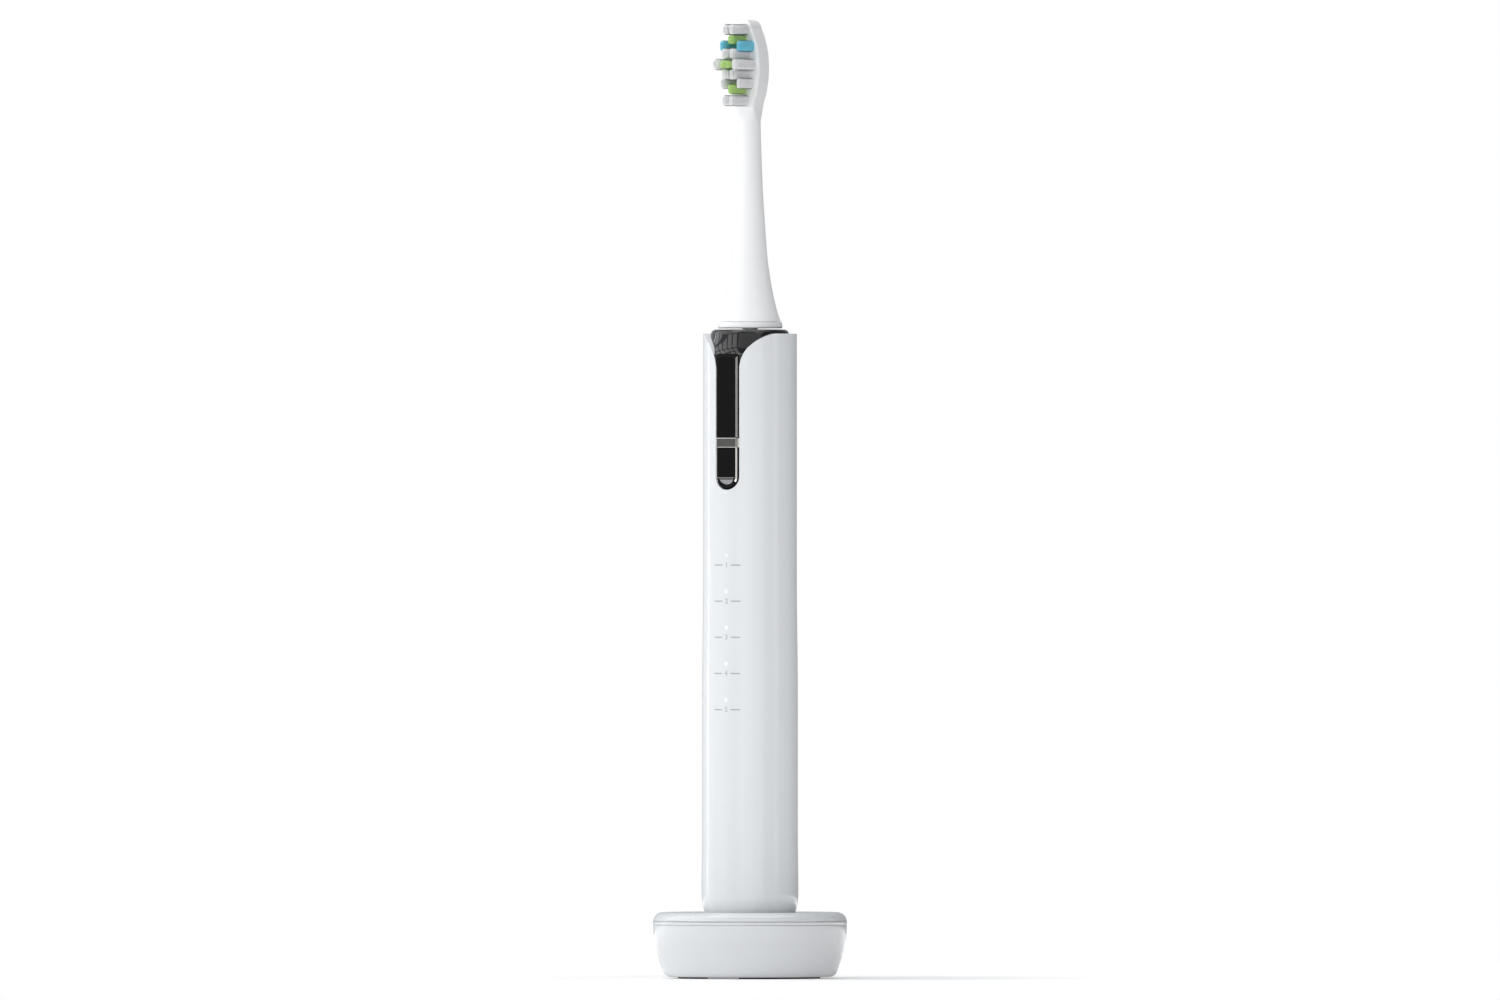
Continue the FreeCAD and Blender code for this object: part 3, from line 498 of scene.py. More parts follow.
def curve_between(pairs, value):
    """Smooth interpolation through (place, size) pairs."""
    places = [p for p, _ in pairs]
    values = [v for _, v in pairs]
    count = len(pairs)
    i = max(0, min(count - 2, sum(1 for p in places if p <= value) - 1))
    slopes = []
    for k in (i, i + 1):
        a, b = max(0, k - 1), min(count - 1, k + 1)
        slopes.append((values[b] - values[a]) / (places[b] - places[a]))
    span = places[i + 1] - places[i]
    t = min(1.0, max(0.0, (value - places[i]) / span))
    return ((2 * t ** 3 - 3 * t ** 2 + 1) * values[i] + (t ** 3 - 2 * t ** 2 + t) * span * slopes[0]
            + (3 * t ** 2 - 2 * t ** 3) * values[i + 1] + (t ** 3 - t ** 2) * span * slopes[1])


# ------------------------------------------------------------------ shared shapes

RIM = high("outer_shell").z / MM
FOOT = low("outer_shell").z / MM
SLOT_END = 130.5
# Half width of the front opening and radius of the funnel, each as (height, size).
FLARE = [(159.0, 3.5), (161.2, 4.0), (163.4, 5.13), (164.7, 6.35), (165.8, 7.65), (166.8, 9.2),
         (167.6, 10.8)]
HORN = [(160.6, 13.2), (161.6, 12.4), (162.4, 11.84), (163.4, 11.3), (164.6, 10.9),
        (165.8, 10.6), (167.6, 10.2)]


FLARE_LOW = FLARE[0][0]


def grip_outer(z):
    """Outer radius of the grip, in millimetres, at a height."""
    size = sizes()
    belly = FOOT + 8.0
    bottom, full = size.bottom_radius / MM, size.belly_radius / MM
    lower, upper = size.lower_radius / MM, size.grip_radius / MM
    if z < belly:
        radius = ((full - bottom) ** 2 + 64.0) / (2 * (full - bottom))
        return full - radius + math.sqrt(max(0.0, radius ** 2 - (belly - z) ** 2))
    if z < 60:
        return full + (lower - full) * smoothstep(belly, belly + 16, z)
    return lower + (upper - lower) * smoothstep(74, 104, z)


def notch_half(z):
    """Half width of the grip's front opening at a height, zero below the slot."""
    half = sizes().slot_half / MM
    if z <= SLOT_END - half:
        return 0.0
    if z < SLOT_END:
        return math.sqrt(half ** 2 - (SLOT_END - z) ** 2)
    if z < FLARE_LOW:
        return half
    return curve_between(FLARE, z)


def horn_radius(z):
    """Radius of the funnel, in millimetres, at a height."""
    return curve_between(HORN, z)


def horn_height(radius):
    """Height at which the funnel has a radius, found by halving."""
    bottom, top = HORN[0][0], HORN[-1][0]
    for _ in range(40):
        middle = (bottom + top) / 2
        if horn_radius(middle) > radius:
            bottom = middle
        else:
            top = middle
    return bottom


class TOOTHBRUSH_OT_finishes(bpy.types.Operator):
    """Make the finishes and put them on the pieces that come straight from the CAD"""
    bl_idname = "toothbrush.finishes"
    bl_label = "Finishes"

    def execute(self, context):
        make_finishes()
        for part in frame["record"]["subparts"]:
            node = bpy.data.objects.get(part["node"])
            if node is None:
                raise RuntimeError("CAD node missing: " + part["node"])
            finish = FINISHES[part["material_slot"]]
            node.data.materials.clear()
            node.data.materials.append(finish)
        return {"FINISHED"}


class TOOTHBRUSH_OT_base(bpy.types.Operator):
    """Turn the charger's lower shell and its cover with the well and the peg"""
    bl_idname = "toothbrush.base"
    bl_label = "Charger base"

    def execute(self, context):
        outer = high("base_cover").x / MM
        top, split = 17.2, 14.0
        well = top - 3.0
        peg = high("base_cover").z / MM
        shell = [Vector((0, 0.4)), Vector((15.9, 0.4)), Vector((15.9, 1.0)), Vector((18.9, 1.0)),
                 Vector((18.9, 0.4))]
        shell += rounded([(18.9, 0.4), (22.35, 0.4, 2.1), (23.5, 4.3)])[1:-1]
        shell += arc(shell[-1], (outer, split - 0.32), 33.5, 24)
        shell += rounded([(outer, split - 0.32), (outer, split - 0.07, 0.06),
                          (outer - 1.2, split - 0.07)], 4)[1:]
        shell += [Vector((outer - 1.8, split - 0.07)), Vector((outer - 3.6, 3.2)),
                  Vector((outer - 5.0, 2.2)), Vector((0, 2.2))]
        lower = spun("charger_shell", shell, closed=False)
        pick(lower)
        bpy.ops.mesh.primitive_cylinder_add(vertices=40, radius=2.75 * MM, depth=8 * MM,
                                            location=(0, 24 * MM, 7.2 * MM),
                                            rotation=(math.pi / 2, 0, 0))
        drill = bpy.context.object
        use_modifier(lower, "BOOLEAN", object=drill, operation="DIFFERENCE", solver="EXACT")
        bpy.data.objects.remove(drill)
        finish_piece(lower, "base", "base_white", ["base_shell"], 30)

        cover = rounded([
            (outer - 2.2, split), (outer, split, 0.06), (outer, split + 1.0)], 4)
        cover += rounded([(outer, split + 0.7), (outer, top, 2.5), (outer - 4, top)], 12)[1:-1]
        cover += rounded([(outer - 5, top), (12.25, top, 0.45), (11.2, well, 0.5),
                          (3.35, well, 0.6), (3.3, peg, 0.8), (0, peg)], 8)
        cover += [Vector((0, peg - 1.1)), Vector((2.2, peg - 1.1)), Vector((2.2, well - 1.6)),
                  Vector((13.0, well - 1.6)), Vector((13.8, top - 1.6)), Vector((21.8, top - 1.6)),
                  Vector((21.8, 11.8)), Vector((23.2, 11.8)), Vector((23.2, split))]
        upper = spun("charger_cover", cover, closed=True)
        finish_piece(upper, "base", "base_white", ["base_cover"], 30)
        return {"FINISHED"}


class TOOTHBRUSH_OT_grip(bpy.types.Operator):
    """Lay the white grip as one skin that opens at the front, then give it its wall"""
    bl_idname = "toothbrush.grip"
    bl_label = "Grip"

    def execute(self, context):
        size = sizes()
        half = size.slot_half / MM
        rows = [FOOT + 0.02 + 8 * k / 14 for k in range(14)]
        rows += [22.5 + (SLOT_END - half - 22.5) * k / 44 for k in range(44)]
        rows += [SLOT_END - half * math.cos(math.pi / 2 * k / 14) for k in range(14)]
        rows += [SLOT_END + (FLARE_LOW - SLOT_END) * k / 12 for k in range(12)]
        rows += [FLARE_LOW + (RIM - FLARE_LOW) * k / 26 for k in range(27)]

        def place(u, v):
            z = rows[round(v * (len(rows) - 1))]
            radius = grip_outer(z)
            opening = math.asin(min(1.0, notch_half(z) / radius))
            turn = FULL_TURN * u
            near = min(turn, FULL_TURN - turn) / math.pi
            push = opening * (1 - near) ** 2
            angle = turn + push if turn <= math.pi else turn - push
            return (math.sin(angle) * radius * MM, -math.cos(angle) * radius * MM, z * MM)

        grip = laid_grid("grip_shell", 144, len(rows) - 1, place)
        wall = grip.vertex_groups.new(name="wall")
        for point in grip.data.vertices:
            weight = 0.5 + 0.5 * smoothstep(FOOT + 2, FOOT + 7, point.co.z / MM)
            wall.add([point.index], weight, "REPLACE")
        use_modifier(grip, "SOLIDIFY", thickness=size.wall, offset=-1.0, vertex_group="wall",
                     use_even_offset=False)
        use_modifier(grip, "BEVEL", width=0.22 * MM, segments=3, limit_method="ANGLE",
                     angle_limit=math.radians(50))
        finish_piece(grip, "handle", "shell_white", ["outer_shell"], 30)
        return {"FINISHED"}


class TOOTHBRUSH_OT_collar(bpy.types.Operator):
    """Turn the black collar and lay the funnel that runs from it down to the strip"""
    bl_idname = "toothbrush.collar"
    bl_label = "Collar and funnel"

    def execute(self, context):
        size = sizes()
        top = high("collar_trim").z / MM
        gap = size.gap / MM
        ring = rounded([(5.0, top - 7), (10.15, top - 7), (10.15, RIM - 0.2), (10.15, top, 1.25),
                        (5.0, top, 0.3), (5.0, top - 3)], 10)
        collar = spun("collar_ring", ring)
        flat = size.strip_front / MM
        edge = (size.slot_half - size.lip_wide) / MM - gap
        bevel_wide, bevel_deep = size.edge_wide / MM, size.edge_deep / MM

        def strip_reach(x):
            """Distance from the axis of the strip's front at a sideways place."""
            x = abs(x)
            if x <= edge - bevel_wide:
                return math.hypot(x, flat)
            if x <= edge:
                return math.hypot(x, flat - bevel_deep * (x - edge + bevel_wide) / bevel_wide)
            return size.grip_radius / MM - 0.12

        def place(u, v):
            side = 2 * u - 1
            foot = horn_height(strip_reach(side * 4.25))
            z = foot + (RIM + 0.05 - foot) * v
            radius = horn_radius(z)
            reach = math.asin(min(1.0, (notch_half(min(z, RIM)) - gap) / (size.grip_radius / MM)))
            angle = side * reach
            return (math.sin(angle) * radius * MM, -math.cos(angle) * radius * MM, z * MM)

        funnel = laid_grid("collar_funnel", 96, 40, place)
        use_modifier(funnel, "SOLIDIFY", thickness=0.7 * MM, offset=-1.0)

        wings = []
        wing_low, wing_high = 158.9, 162.2
        lip_edge = size.slot_half / MM - gap
        for side in (-1, 1):
            def wing(u, v, side=side):
                z = wing_low + (wing_high - wing_low) * v
                wide = lip_edge + 0.02 + (notch_half(z) - gap * 0.6 - lip_edge - 0.02) * u
                reach = size.grip_radius / MM - 0.14
                angle = side * math.asin(wide / reach)
                return (math.sin(angle) * reach * MM, -math.cos(angle) * reach * MM, z * MM)
            wings.append(laid_grid("collar_wing", 4, 14, wing))
            use_modifier(wings[-1], "SOLIDIFY", thickness=0.8 * MM, offset=-1.0)
        piece = join("collar_and_funnel", [collar, funnel, *wings])
        finish_piece(piece, "handle", "gloss_black", ["collar_trim"], 32)
        return {"FINISHED"}


def polish_edges(piece, lowest):
    """Give the sloping side faces of a strip piece the polished finish."""
    for face in piece.data.polygons:
        sloped = 0.35 < abs(face.normal.x) < 0.95 and face.normal.y < -0.3
        if sloped and face.center.z > lowest * MM and abs(face.normal.z) < 0.5:
            face.material_index = 1


STRIP_BACK = 10.2


def bar(name, z_low, z_high, proud=0.0):
    """Strip section with bevelled sides between two heights, in millimetres."""
    size = sizes()
    edge = (size.slot_half - size.gap) / MM
    outer = edge - size.lip_wide / MM
    inner = outer - size.edge_wide / MM
    front = size.strip_front / MM + proud
    shoulder, lip = front - size.edge_deep / MM, front - size.lip_deep / MM
    right = [(inner, front), (outer, shoulder), (outer, lip), (edge, lip), (edge, STRIP_BACK)]
    section = [(-x, y) for x, y in reversed(right)] + right
    piece = trace(name, [(x * MM, -y * MM, z_low * MM) for x, y in section])
    bpy.ops.mesh.select_all(action="SELECT")
    bpy.ops.mesh.edge_face_add()
    bpy.ops.mesh.extrude_region_move(
        TRANSFORM_OT_translate={"value": (0, 0, (z_high - z_low) * MM)})
    clean(piece)
    return piece


class TOOTHBRUSH_OT_strip(bpy.types.Operator):
    """Make the flat front strip, its metal band and the power button"""
    bl_idname = "toothbrush.strip"
    bl_label = "Strip and button"

    def execute(self, context):
        size = sizes()
        strip_low = low("front_strip").z / MM
        strip = bar("front_strip_bar", strip_low, 162.4)
        beyond = [(horn_radius(z) + 0.004, z) for z in (160.6 + 0.25 * k for k in range(9))]
        cutter = spun("funnel_cutter", beyond + [(18, 162.6), (18, 160.6)])
        use_modifier(strip, "BOOLEAN", object=cutter, operation="DIFFERENCE", solver="EXACT")
        bpy.data.objects.remove(cutter)
        polish_edges(strip, strip_low)
        finish_piece(strip, "handle", "satin_black", ["front_strip"], 20, ["polished_edge"])

        band_low, band_high = low("trim_band").z / MM, high("trim_band").z / MM
        band = bar("metal_band", band_low, band_high, 0.07)
        use_modifier(band, "BEVEL", width=0.12 * MM, segments=2, limit_method="ANGLE",
                     angle_limit=math.radians(60))
        for face in band.data.polygons:
            if abs(face.normal.x) > 0.35 or abs(face.normal.z) > 0.3:
                face.material_index = 1
        finish_piece(band, "handle", "band_silver", ["trim_band"], 20, ["polished_edge"])

        edge = (size.slot_half - size.gap) / MM
        front = size.strip_front / MM
        key_top = high("power_button").z / MM

        def round_ended(half):
            rim = [(half * math.cos(a), SLOT_END + half * math.sin(a))
                   for a in (math.pi + math.pi * k / 32 for k in range(33))]
            return [(-half, key_top), *rim, (half, key_top)]

        lip = slab("key_lip", round_ended(edge), front - size.lip_deep / MM, front - 1.5)
        key = slab("power_key", round_ended(edge - size.lip_wide / MM), front, front - 1.5)
        pick(key)
        unpick("EDGE")
        points = key.data.vertices
        for line in key.data.edges:
            a, b = (points[i].co for i in line.vertices)
            at_front = max(a.y, b.y) < -(front - 0.01) * MM
            line.select = at_front and min(a.z, b.z) < (key_top - 0.01) * MM
        bpy.ops.object.mode_set(mode="EDIT")
        bpy.ops.mesh.bevel(offset=size.edge_wide, segments=1, affect="EDGES")
        bpy.ops.mesh.select_all(action="SELECT")
        bpy.ops.mesh.bisect(plane_co=(0, 0, (SLOT_END - 0.3) * MM), plane_no=(0, 0, 1))
        unpick("FACE")
        for face in key.data.polygons:
            face.select = (face.normal.y < -0.99 and face.center.z < (SLOT_END - 0.4) * MM)
        bpy.ops.object.mode_set(mode="EDIT")
        bpy.ops.mesh.inset(thickness=0.6 * MM, depth=0)
        bpy.ops.transform.rotate(value=math.radians(-17), orient_axis="X",
                                 center_override=(0, -front * MM, (SLOT_END - 0.45) * MM))
        bpy.ops.object.mode_set(mode="OBJECT")
        key = join("power_key", [key, lip])
        polish_edges(key, SLOT_END - 1.4)
        # The sloping facet of the key takes the grey finish, a painted reflection.
        for face in key.data.polygons:
            if face.normal.z < -0.2 and abs(face.normal.x) < 0.1 and face.normal.y < -0.9:
                face.material_index = 2
        finish_piece(key, "power_key", "satin_black", ["power_button"], 12,
                     ["polished_edge", "key_facet_painted_reflection"])
        return {"FINISHED"}


# Heights of the five mode lights, from the lowest.
MODE_HEIGHTS = [72.4 + 9.39 * k for k in range(5)]


class TOOTHBRUSH_OT_lights(bpy.types.Operator):
    """Set the five mode lights in the grip and print a plain mark under each"""
    bl_idname = "toothbrush.lights"
    bl_label = "Mode lights and marks"

    def execute(self, context):
        lenses = []
        for height in MODE_HEIGHTS:
            radius = grip_outer(height)
            put_down()
            bpy.ops.mesh.primitive_cylinder_add(
                vertices=36, radius=0.6 * MM, depth=2.2 * MM, rotation=(math.pi / 2, 0, 0),
                location=(0, -(radius - 1.04) * MM, height * MM))
            lens = bpy.context.object
            bpy.ops.object.transform_apply(location=True, rotation=True)
            use_modifier(lens, "BEVEL", width=0.16 * MM, segments=4, limit_method="ANGLE",
                         angle_limit=math.radians(60))
            lenses.append(lens)
        piece = join("mode_lenses", lenses)
        finish_piece(piece, "handle", "lens_white", ["light_guide"], 30)

        marks = []
        for number, height in enumerate(reversed(MODE_HEIGHTS), start=1):
            middle = height - 2.5
            put_down()
            bpy.ops.object.text_add(location=(0, 0, 0), rotation=(math.pi / 2, 0, 0))
            figure = bpy.context.object
            figure.data.body = str(number)
            figure.data.size = 1.9 * MM
            figure.data.align_x = "CENTER"
            figure.data.align_y = "CENTER"
            figure.data.extrude = 0.012 * MM
            bpy.ops.object.convert(target="MESH")
            figure = bpy.context.object
            figure.location = (0, 0, middle * MM)
            bpy.ops.object.transform_apply(location=True, rotation=True)
            marks.append(figure)
            for side in (-1, 1):
                put_down()
                bpy.ops.mesh.primitive_cube_add(
                    size=1.0, location=(side * 2.6 * MM, 0, middle * MM),
                    scale=(2.6 * MM, 0.024 * MM, 0.3 * MM))
                bpy.ops.object.transform_apply(location=True, scale=True)
                bpy.ops.object.mode_set(mode="EDIT")
                bpy.ops.mesh.select_all(action="SELECT")
                bpy.ops.mesh.subdivide(number_cuts=7)
                bpy.ops.object.mode_set(mode="OBJECT")
                marks.append(bpy.context.object)
        print_layer = join("mode_marks", marks)
        for point in print_layer.data.vertices:
            radius = grip_outer(point.co.z / MM) * MM + point.co.y * -1 + 0.002 * MM
            angle = point.co.x / radius
            point.co = (math.sin(angle) * radius, -math.cos(angle) * radius, point.co.z)
        finish_piece(print_layer, "handle", "print_grey", (), 30)
        return {"FINISHED"}


# Neck and plate of the brush head: (height, radius) and (height, half width).
NECK = [(170.7, 7.98), (171.6, 7.7), (173.4, 7.1), (175.6, 6.54), (177.6, 6.08), (179.6, 5.69),
        (183.6, 5.05), (187.7, 4.52), (195.9, 3.92), (204.0, 3.4), (212.1, 3.05), (222.3, 2.76),
        (226.0, 2.72)]
PLATE = [(222.3, 2.76), (224.4, 2.7), (225.9, 2.76), (227.9, 3.17), (229.9, 3.86), (231.9, 4.25),
         (233.9, 4.55), (236.8, 4.7), (239.8, 4.52), (241.8, 4.2), (243.8, 3.64), (245.8, 2.92),
         (247.2, 2.25)]
PLATE_FRONT = 3.5
HEAD_TOP = 249.2
TIP = 2.0


class TOOTHBRUSH_OT_head(bpy.types.Operator):
    """Loft the brush head from its round foot to the flat bristle plate"""
    bl_idname = "toothbrush.head"
    bl_label = "Brush head"

    def execute(self, context):
        rows = [170.75 + (222 - 170.75) * (k / 60) for k in range(60)]
        rows += [222 + 25.2 * k / 70 for k in range(70)]
        rows += [HEAD_TOP - TIP * (1 - math.sin(math.pi / 2 * k / 22)) for k in range(23)]

        def place(u, v):
            z = rows[round(v * (len(rows) - 1))]
            angle = FULL_TURN * u
            across, deep = math.cos(angle), math.sin(angle)
            to_plate = smoothstep(222.6, 228.6, z)
            if z < PLATE[0][0]:
                half = curve_between(NECK, z)
            else:
                half = curve_between(PLATE, min(z, PLATE[-1][0]))
            tip = max(0.0, (z - (HEAD_TOP - TIP)) / TIP)
            half *= math.sqrt(max(0.0, 1 - tip ** 2.1))
            face = between([(170, 0), (225.0, 0.0), (226.9, 1.0), (260, 1.0)], z)
            neck = curve_between(NECK, min(z, NECK[-1][0]))
            front = neck + (PLATE_FRONT - neck) * smoothstep(0, 1, face) - 0.55 * tip ** 3
            back = neck + (2.35 - neck) * to_plate - 0.75 * tip ** 2.5
            squareness = 2 + (11 if deep < 0 else 7) * to_plate
            x = half * math.copysign(abs(across) ** (2 / squareness), across)
            reach = front if deep < 0 else back
            y = reach * math.copysign(abs(deep) ** (2 / squareness), deep)
            return (x * MM, y * MM, z * MM)

        head = laid_grid("brush_head_body", 128, len(rows) - 1, place)
        foot = rounded([(7.98, 170.75), (7.9, 170.7), (6.9, 170.7), (6.9, 172.2)])
        rim = spun("head_foot", foot, closed=False)
        head = join("brush_head_body", [head, rim])
        clean(head, 0.000004)
        finish_piece(head, "brush", "head_white", ["brush_head"], 40)

        ring_high = 170.62
        ring_low = low("head_ring").z / MM
        outer = 8.5
        ring = rounded([(5.9, ring_low), (outer, ring_low, 0.35), (outer - 0.22, ring_high, 0.16),
                        (6.9, ring_high), (6.9, ring_high + 1.4), (5.9, ring_high + 1.4)], 8)
        piece = spun("head_ring_cap", ring)
        finish_piece(piece, "brush", "head_white", ["head_ring"], 32)
        return {"FINISHED"}


# Rows of tufts: height from the middle, sideways place, length, width, height.
TUFTS = {
    "bristles_white": ("bristle_white", [
        (9.1, 1.05, 8.2, 1.7, 2.8), (2.8, 1.15, 8.3, 1.7, 2.9), (0.0, 2.85, 9.9, 1.9, 3.0),
        (-2.6, 1.15, 8.3, 1.7, 2.9), (-4.9, 2.4, 6.9, 1.6, 2.8), (-9.4, 1.05, 8.4, 1.7, 2.8)]),
    "bristles_blue": ("bristle_blue", [(4.8, 2.5, 7.0, 1.6, 2.9)]),
    "bristles_green": ("bristle_green", [
        (6.5, 0.0, 7.0, 1.8, 2.6), (0.0, 0.0, 10.9, 1.7, 2.2), (-6.4, 0.0, 7.0, 1.8, 2.7)]),
}
FIELD = 237.5


def filament_places(wide, tall, pitch):
    """Centres of filaments that fill a slot-shaped hole row by row, edge to edge."""
    reach, run = (wide - pitch) / 2, (tall - wide) / 2
    rows = round((tall - pitch) / (pitch * 0.87))
    spots = []
    for j in range(rows + 1):
        z = (j / rows - 0.5) * (tall - pitch)
        past = max(0.0, abs(z) - run)
        half = math.sqrt(max(0.0, reach ** 2 - past ** 2))
        count = max(1, round(2 * half / pitch))
        for i in range(count + 1):
            x = (2 * i / count - 1) * half
            spots.append((x, z, math.hypot(x, past) / reach))
    return spots


def one_filament(radius, reach):
    """Six-sided filament with a domed tip, centred on the origin and pointing to -Y."""
    put_down()
    bpy.ops.mesh.primitive_cylinder_add(vertices=6, radius=radius, depth=reach - radius * 0.85,
                                        end_fill_type="NGON", location=(0, 0, 0))
    strand = bpy.context.object
    unpick("FACE")
    for face in strand.data.polygons:
        face.select = face.normal.z > 0.9
    bpy.ops.object.mode_set(mode="EDIT")
    bpy.ops.mesh.extrude_region_move(TRANSFORM_OT_translate={"value": (0, 0, radius * 0.55)})
    bpy.ops.transform.resize(value=(0.72, 0.72, 1), center_override=(0, 0, 0))
    bpy.ops.mesh.extrude_region_move(TRANSFORM_OT_translate={"value": (0, 0, radius * 0.3)})
    bpy.ops.transform.resize(value=(0.4, 0.4, 1), center_override=(0, 0, 0))
    bpy.ops.object.mode_set(mode="OBJECT")
    strand.rotation_euler = (math.pi / 2, 0, 0)
    bpy.ops.object.transform_apply(rotation=True)
    return strand


class TOOTHBRUSH_OT_bristles(bpy.types.Operator):
    """Pack filaments into tufts and set the tufts in their rows"""
    bl_idname = "toothbrush.bristles"
    bl_label = "Bristles"

    def execute(self, context):
        pitch = sizes().filament / MM
        for label, (slot, rows) in TUFTS.items():
            made = []
            for z, x, reach, wide, tall in rows:
                radius = pitch * 0.54
                root = PLATE_FRONT - 0.4
                middle = (root + PLATE_FRONT + reach - radius * 0.85) / 2
                strand = one_filament(radius * MM, (reach + 0.4) * MM)
                mesh = strand.data
                copies = []
                for sx, sz, off in filament_places(wide, tall, pitch):
                    copy = bpy.data.objects.new("filament", mesh.copy())
                    context.collection.objects.link(copy)
                    short = 0.55 * off ** 4 + 0.04 * (1 + math.sin(37.0 * sx + 61.0 * sz))
                    for point in copy.data.vertices:
                        tip = point.co.y < 0
                        point.co.x += sx * MM
                        point.co.z += sz * MM
                        point.co.y -= (middle - short if tip else middle) * MM
                    copies.append(copy)
                bpy.data.objects.remove(strand)
                tuft = join("tuft", copies)
                for side in ([-1, 1] if x else [1]):
                    twin = tuft if side == 1 else tuft.copy()
                    if side == -1:
                        twin.data = tuft.data.copy()
                        context.collection.objects.link(twin)
                    for point in twin.data.vertices:
                        point.co.x += side * x * MM
                        point.co.z += (FIELD + z) * MM
                    made.append(twin)
            piece = join(label + "_tufts", made)
            finish_piece(piece, "brush", slot, [label], 50)
        return {"FINISHED"}


def area_light(name, azimuth, elevation, distance, width, height, power):
    """Softbox aimed at the middle of the brush; angles in degrees, sizes in metres."""
    light = bpy.data.lights.new(name, "AREA")
    light.shape = "RECTANGLE"
    light.size, light.size_y = width, height
    light.energy = power
    lamp = bpy.data.objects.new(name, light)
    bpy.context.collection.objects.link(lamp)
    a, e = math.radians(azimuth), math.radians(elevation)
    way = Vector((math.sin(a) * math.cos(e), -math.cos(a) * math.cos(e), math.sin(e)))
    middle = Vector((0, 0, 0.12))
    lamp.location = middle + way * distance
    lamp.rotation_mode = "QUATERNION"
    lamp.rotation_quaternion = way.to_track_quat("Z", "Y")


# Widest pane of the many-paned softbox, and the single lights: name, azimuth, elevation,
# distance, width, height, power.
BANK_PANE = 0.2
LIGHTS = (
    ("front", 30, 10, 1.0, 1.3, 1.2, 3.35),
    ("edge strip", -92, 0, 0.8, 0.02, 1.4, 0.8),
    ("right strip", 95, 0, 0.8, 0.14, 0.6, 0.18),
    ("head fill", 62, 46, 0.3, 0.1, 0.1, 0.05),
    ("overhead", 0, 88, 0.9, 0.9, 0.9, 4.0),
)


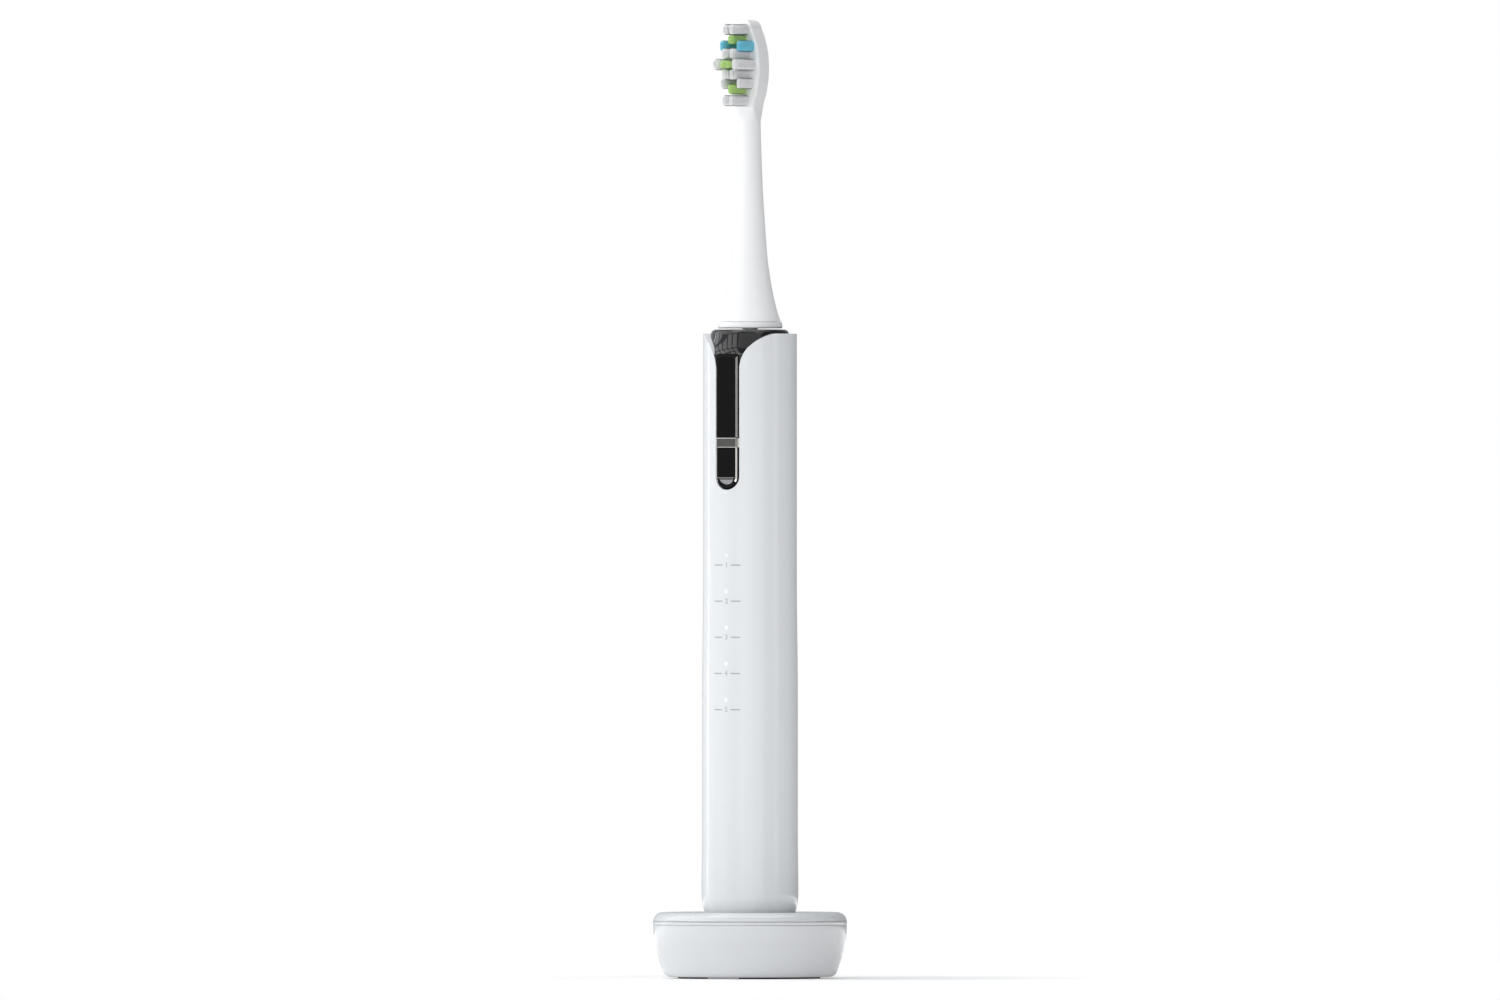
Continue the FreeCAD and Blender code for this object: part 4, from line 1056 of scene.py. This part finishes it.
class TOOTHBRUSH_OT_stage(bpy.types.Operator):
    """Set the pale floor, the studio light and the camera"""
    bl_idname = "toothbrush.stage"
    bl_label = "Stage"

    def execute(self, context):
        scene = context.scene
        put_down()
        bpy.ops.mesh.primitive_circle_add(vertices=96, radius=0.35, fill_type="NGON")
        floor = context.object
        floor.name = "floor"
        finish, shader, place = new_finish("floor white", (0.9, 0.9, 0.9), 0.7, specular=0.1)
        shader.inputs["Emission Color"].default_value = (1, 1, 1, 1)
        tree = finish.node_tree
        reach = tree.nodes.new("ShaderNodeVectorMath")
        reach.operation = "LENGTH"
        tree.links.new(place, reach.inputs[0])
        map_range(tree, reach.outputs["Value"], (0.05, 0.3), (0.12, 0.9),
                  shader.inputs["Emission Strength"])
        floor.data.materials.append(finish)

        world = bpy.data.worlds.new("studio")
        scene.world = world
        world.use_nodes = True
        tree = world.node_tree
        tree.nodes.clear()
        output = tree.nodes.new("ShaderNodeOutputWorld")
        mix = tree.nodes.new("ShaderNodeMixShader")
        seen = tree.nodes.new("ShaderNodeBackground")
        lit = tree.nodes.new("ShaderNodeBackground")
        path = tree.nodes.new("ShaderNodeLightPath")
        seen.inputs["Color"].default_value = (1, 1, 1, 1)
        seen.inputs["Strength"].default_value = 1.0
        lit.inputs["Color"].default_value = (0.93, 0.965, 1.0, 1)
        way = tree.nodes.new("ShaderNodeTexCoord")
        split = tree.nodes.new("ShaderNodeSeparateXYZ")
        tree.links.new(way.outputs["Generated"], split.inputs["Vector"])
        map_range(tree, split.outputs["X"], (-1.0, 0.2), (0.7, 0.2), lit.inputs["Strength"])
        tree.links.new(path.outputs["Is Camera Ray"], mix.inputs["Fac"])
        tree.links.new(lit.outputs["Background"], mix.inputs[1])
        tree.links.new(seen.outputs["Background"], mix.inputs[2])
        tree.links.new(mix.outputs["Shader"], output.inputs["Surface"])

        for row in range(4):
            elevation = 14 + 15 * row
            wide = BANK_PANE * math.cos(math.radians(elevation))
            tall = 0.95 * BANK_PANE
            for column in range(5):
                area_light(f"bank {row} {column}", -80 + 16 * column, elevation, 0.9,
                           wide, tall, 5.2 * wide * tall)
        for light in LIGHTS:
            area_light(*light)

        camera = bpy.data.cameras.new("camera")
        camera.lens = 1000.0
        camera.sensor_width = 36.0
        camera.clip_end = 60.0
        viewer = bpy.data.objects.new("camera", camera)
        context.collection.objects.link(viewer)
        away = 0.39 * camera.lens / camera.sensor_width
        turn = math.radians(30)
        viewer.location = (math.sin(turn) * away, -math.cos(turn) * away, 0.12436)
        viewer.rotation_euler = (math.pi / 2, 0, turn)
        scene.camera = viewer
        scene.view_settings.view_transform = "Standard"
        return {"FINISHED"}


class TOOTHBRUSH_PT_panel(bpy.types.Panel):
    """Sizes, colours and build steps of the toothbrush"""
    bl_idname = "TOOTHBRUSH_PT_panel"
    bl_label = "Toothbrush"
    bl_space_type = "VIEW_3D"
    bl_region_type = "UI"
    bl_category = "Toothbrush"

    def draw(self, context):
        layout = self.layout
        for group in (context.scene.toothbrush_sizes, context.scene.toothbrush_colours):
            box = layout.box()
            for key in group.__annotations__:
                box.prop(group, key)
        for step in STEPS:
            layout.operator(step.bl_idname)


STEPS = (
    TOOTHBRUSH_OT_finishes,
    TOOTHBRUSH_OT_base,
    TOOTHBRUSH_OT_grip,
    TOOTHBRUSH_OT_collar,
    TOOTHBRUSH_OT_strip,
    TOOTHBRUSH_OT_lights,
    TOOTHBRUSH_OT_head,
    TOOTHBRUSH_OT_bristles,
    TOOTHBRUSH_OT_stage,
)
CLASSES = (ToothbrushSizes, ToothbrushColours, *STEPS, TOOTHBRUSH_PT_panel)


def register():
    for cls in CLASSES:
        bpy.utils.register_class(cls)
    bpy.types.Scene.toothbrush_sizes = PointerProperty(type=ToothbrushSizes)
    bpy.types.Scene.toothbrush_colours = PointerProperty(type=ToothbrushColours)


def unregister():
    del bpy.types.Scene.toothbrush_colours
    del bpy.types.Scene.toothbrush_sizes
    for cls in reversed(CLASSES):
        bpy.utils.unregister_class(cls)


def main():
    register()
    bpy.ops.toothbrush.finishes()
    bpy.ops.toothbrush.base()
    bpy.ops.toothbrush.grip()
    bpy.ops.toothbrush.collar()
    bpy.ops.toothbrush.strip()
    bpy.ops.toothbrush.lights()
    bpy.ops.toothbrush.head()
    bpy.ops.toothbrush.bristles()
    bpy.ops.toothbrush.stage()


if __name__ == "__main__":
    main()
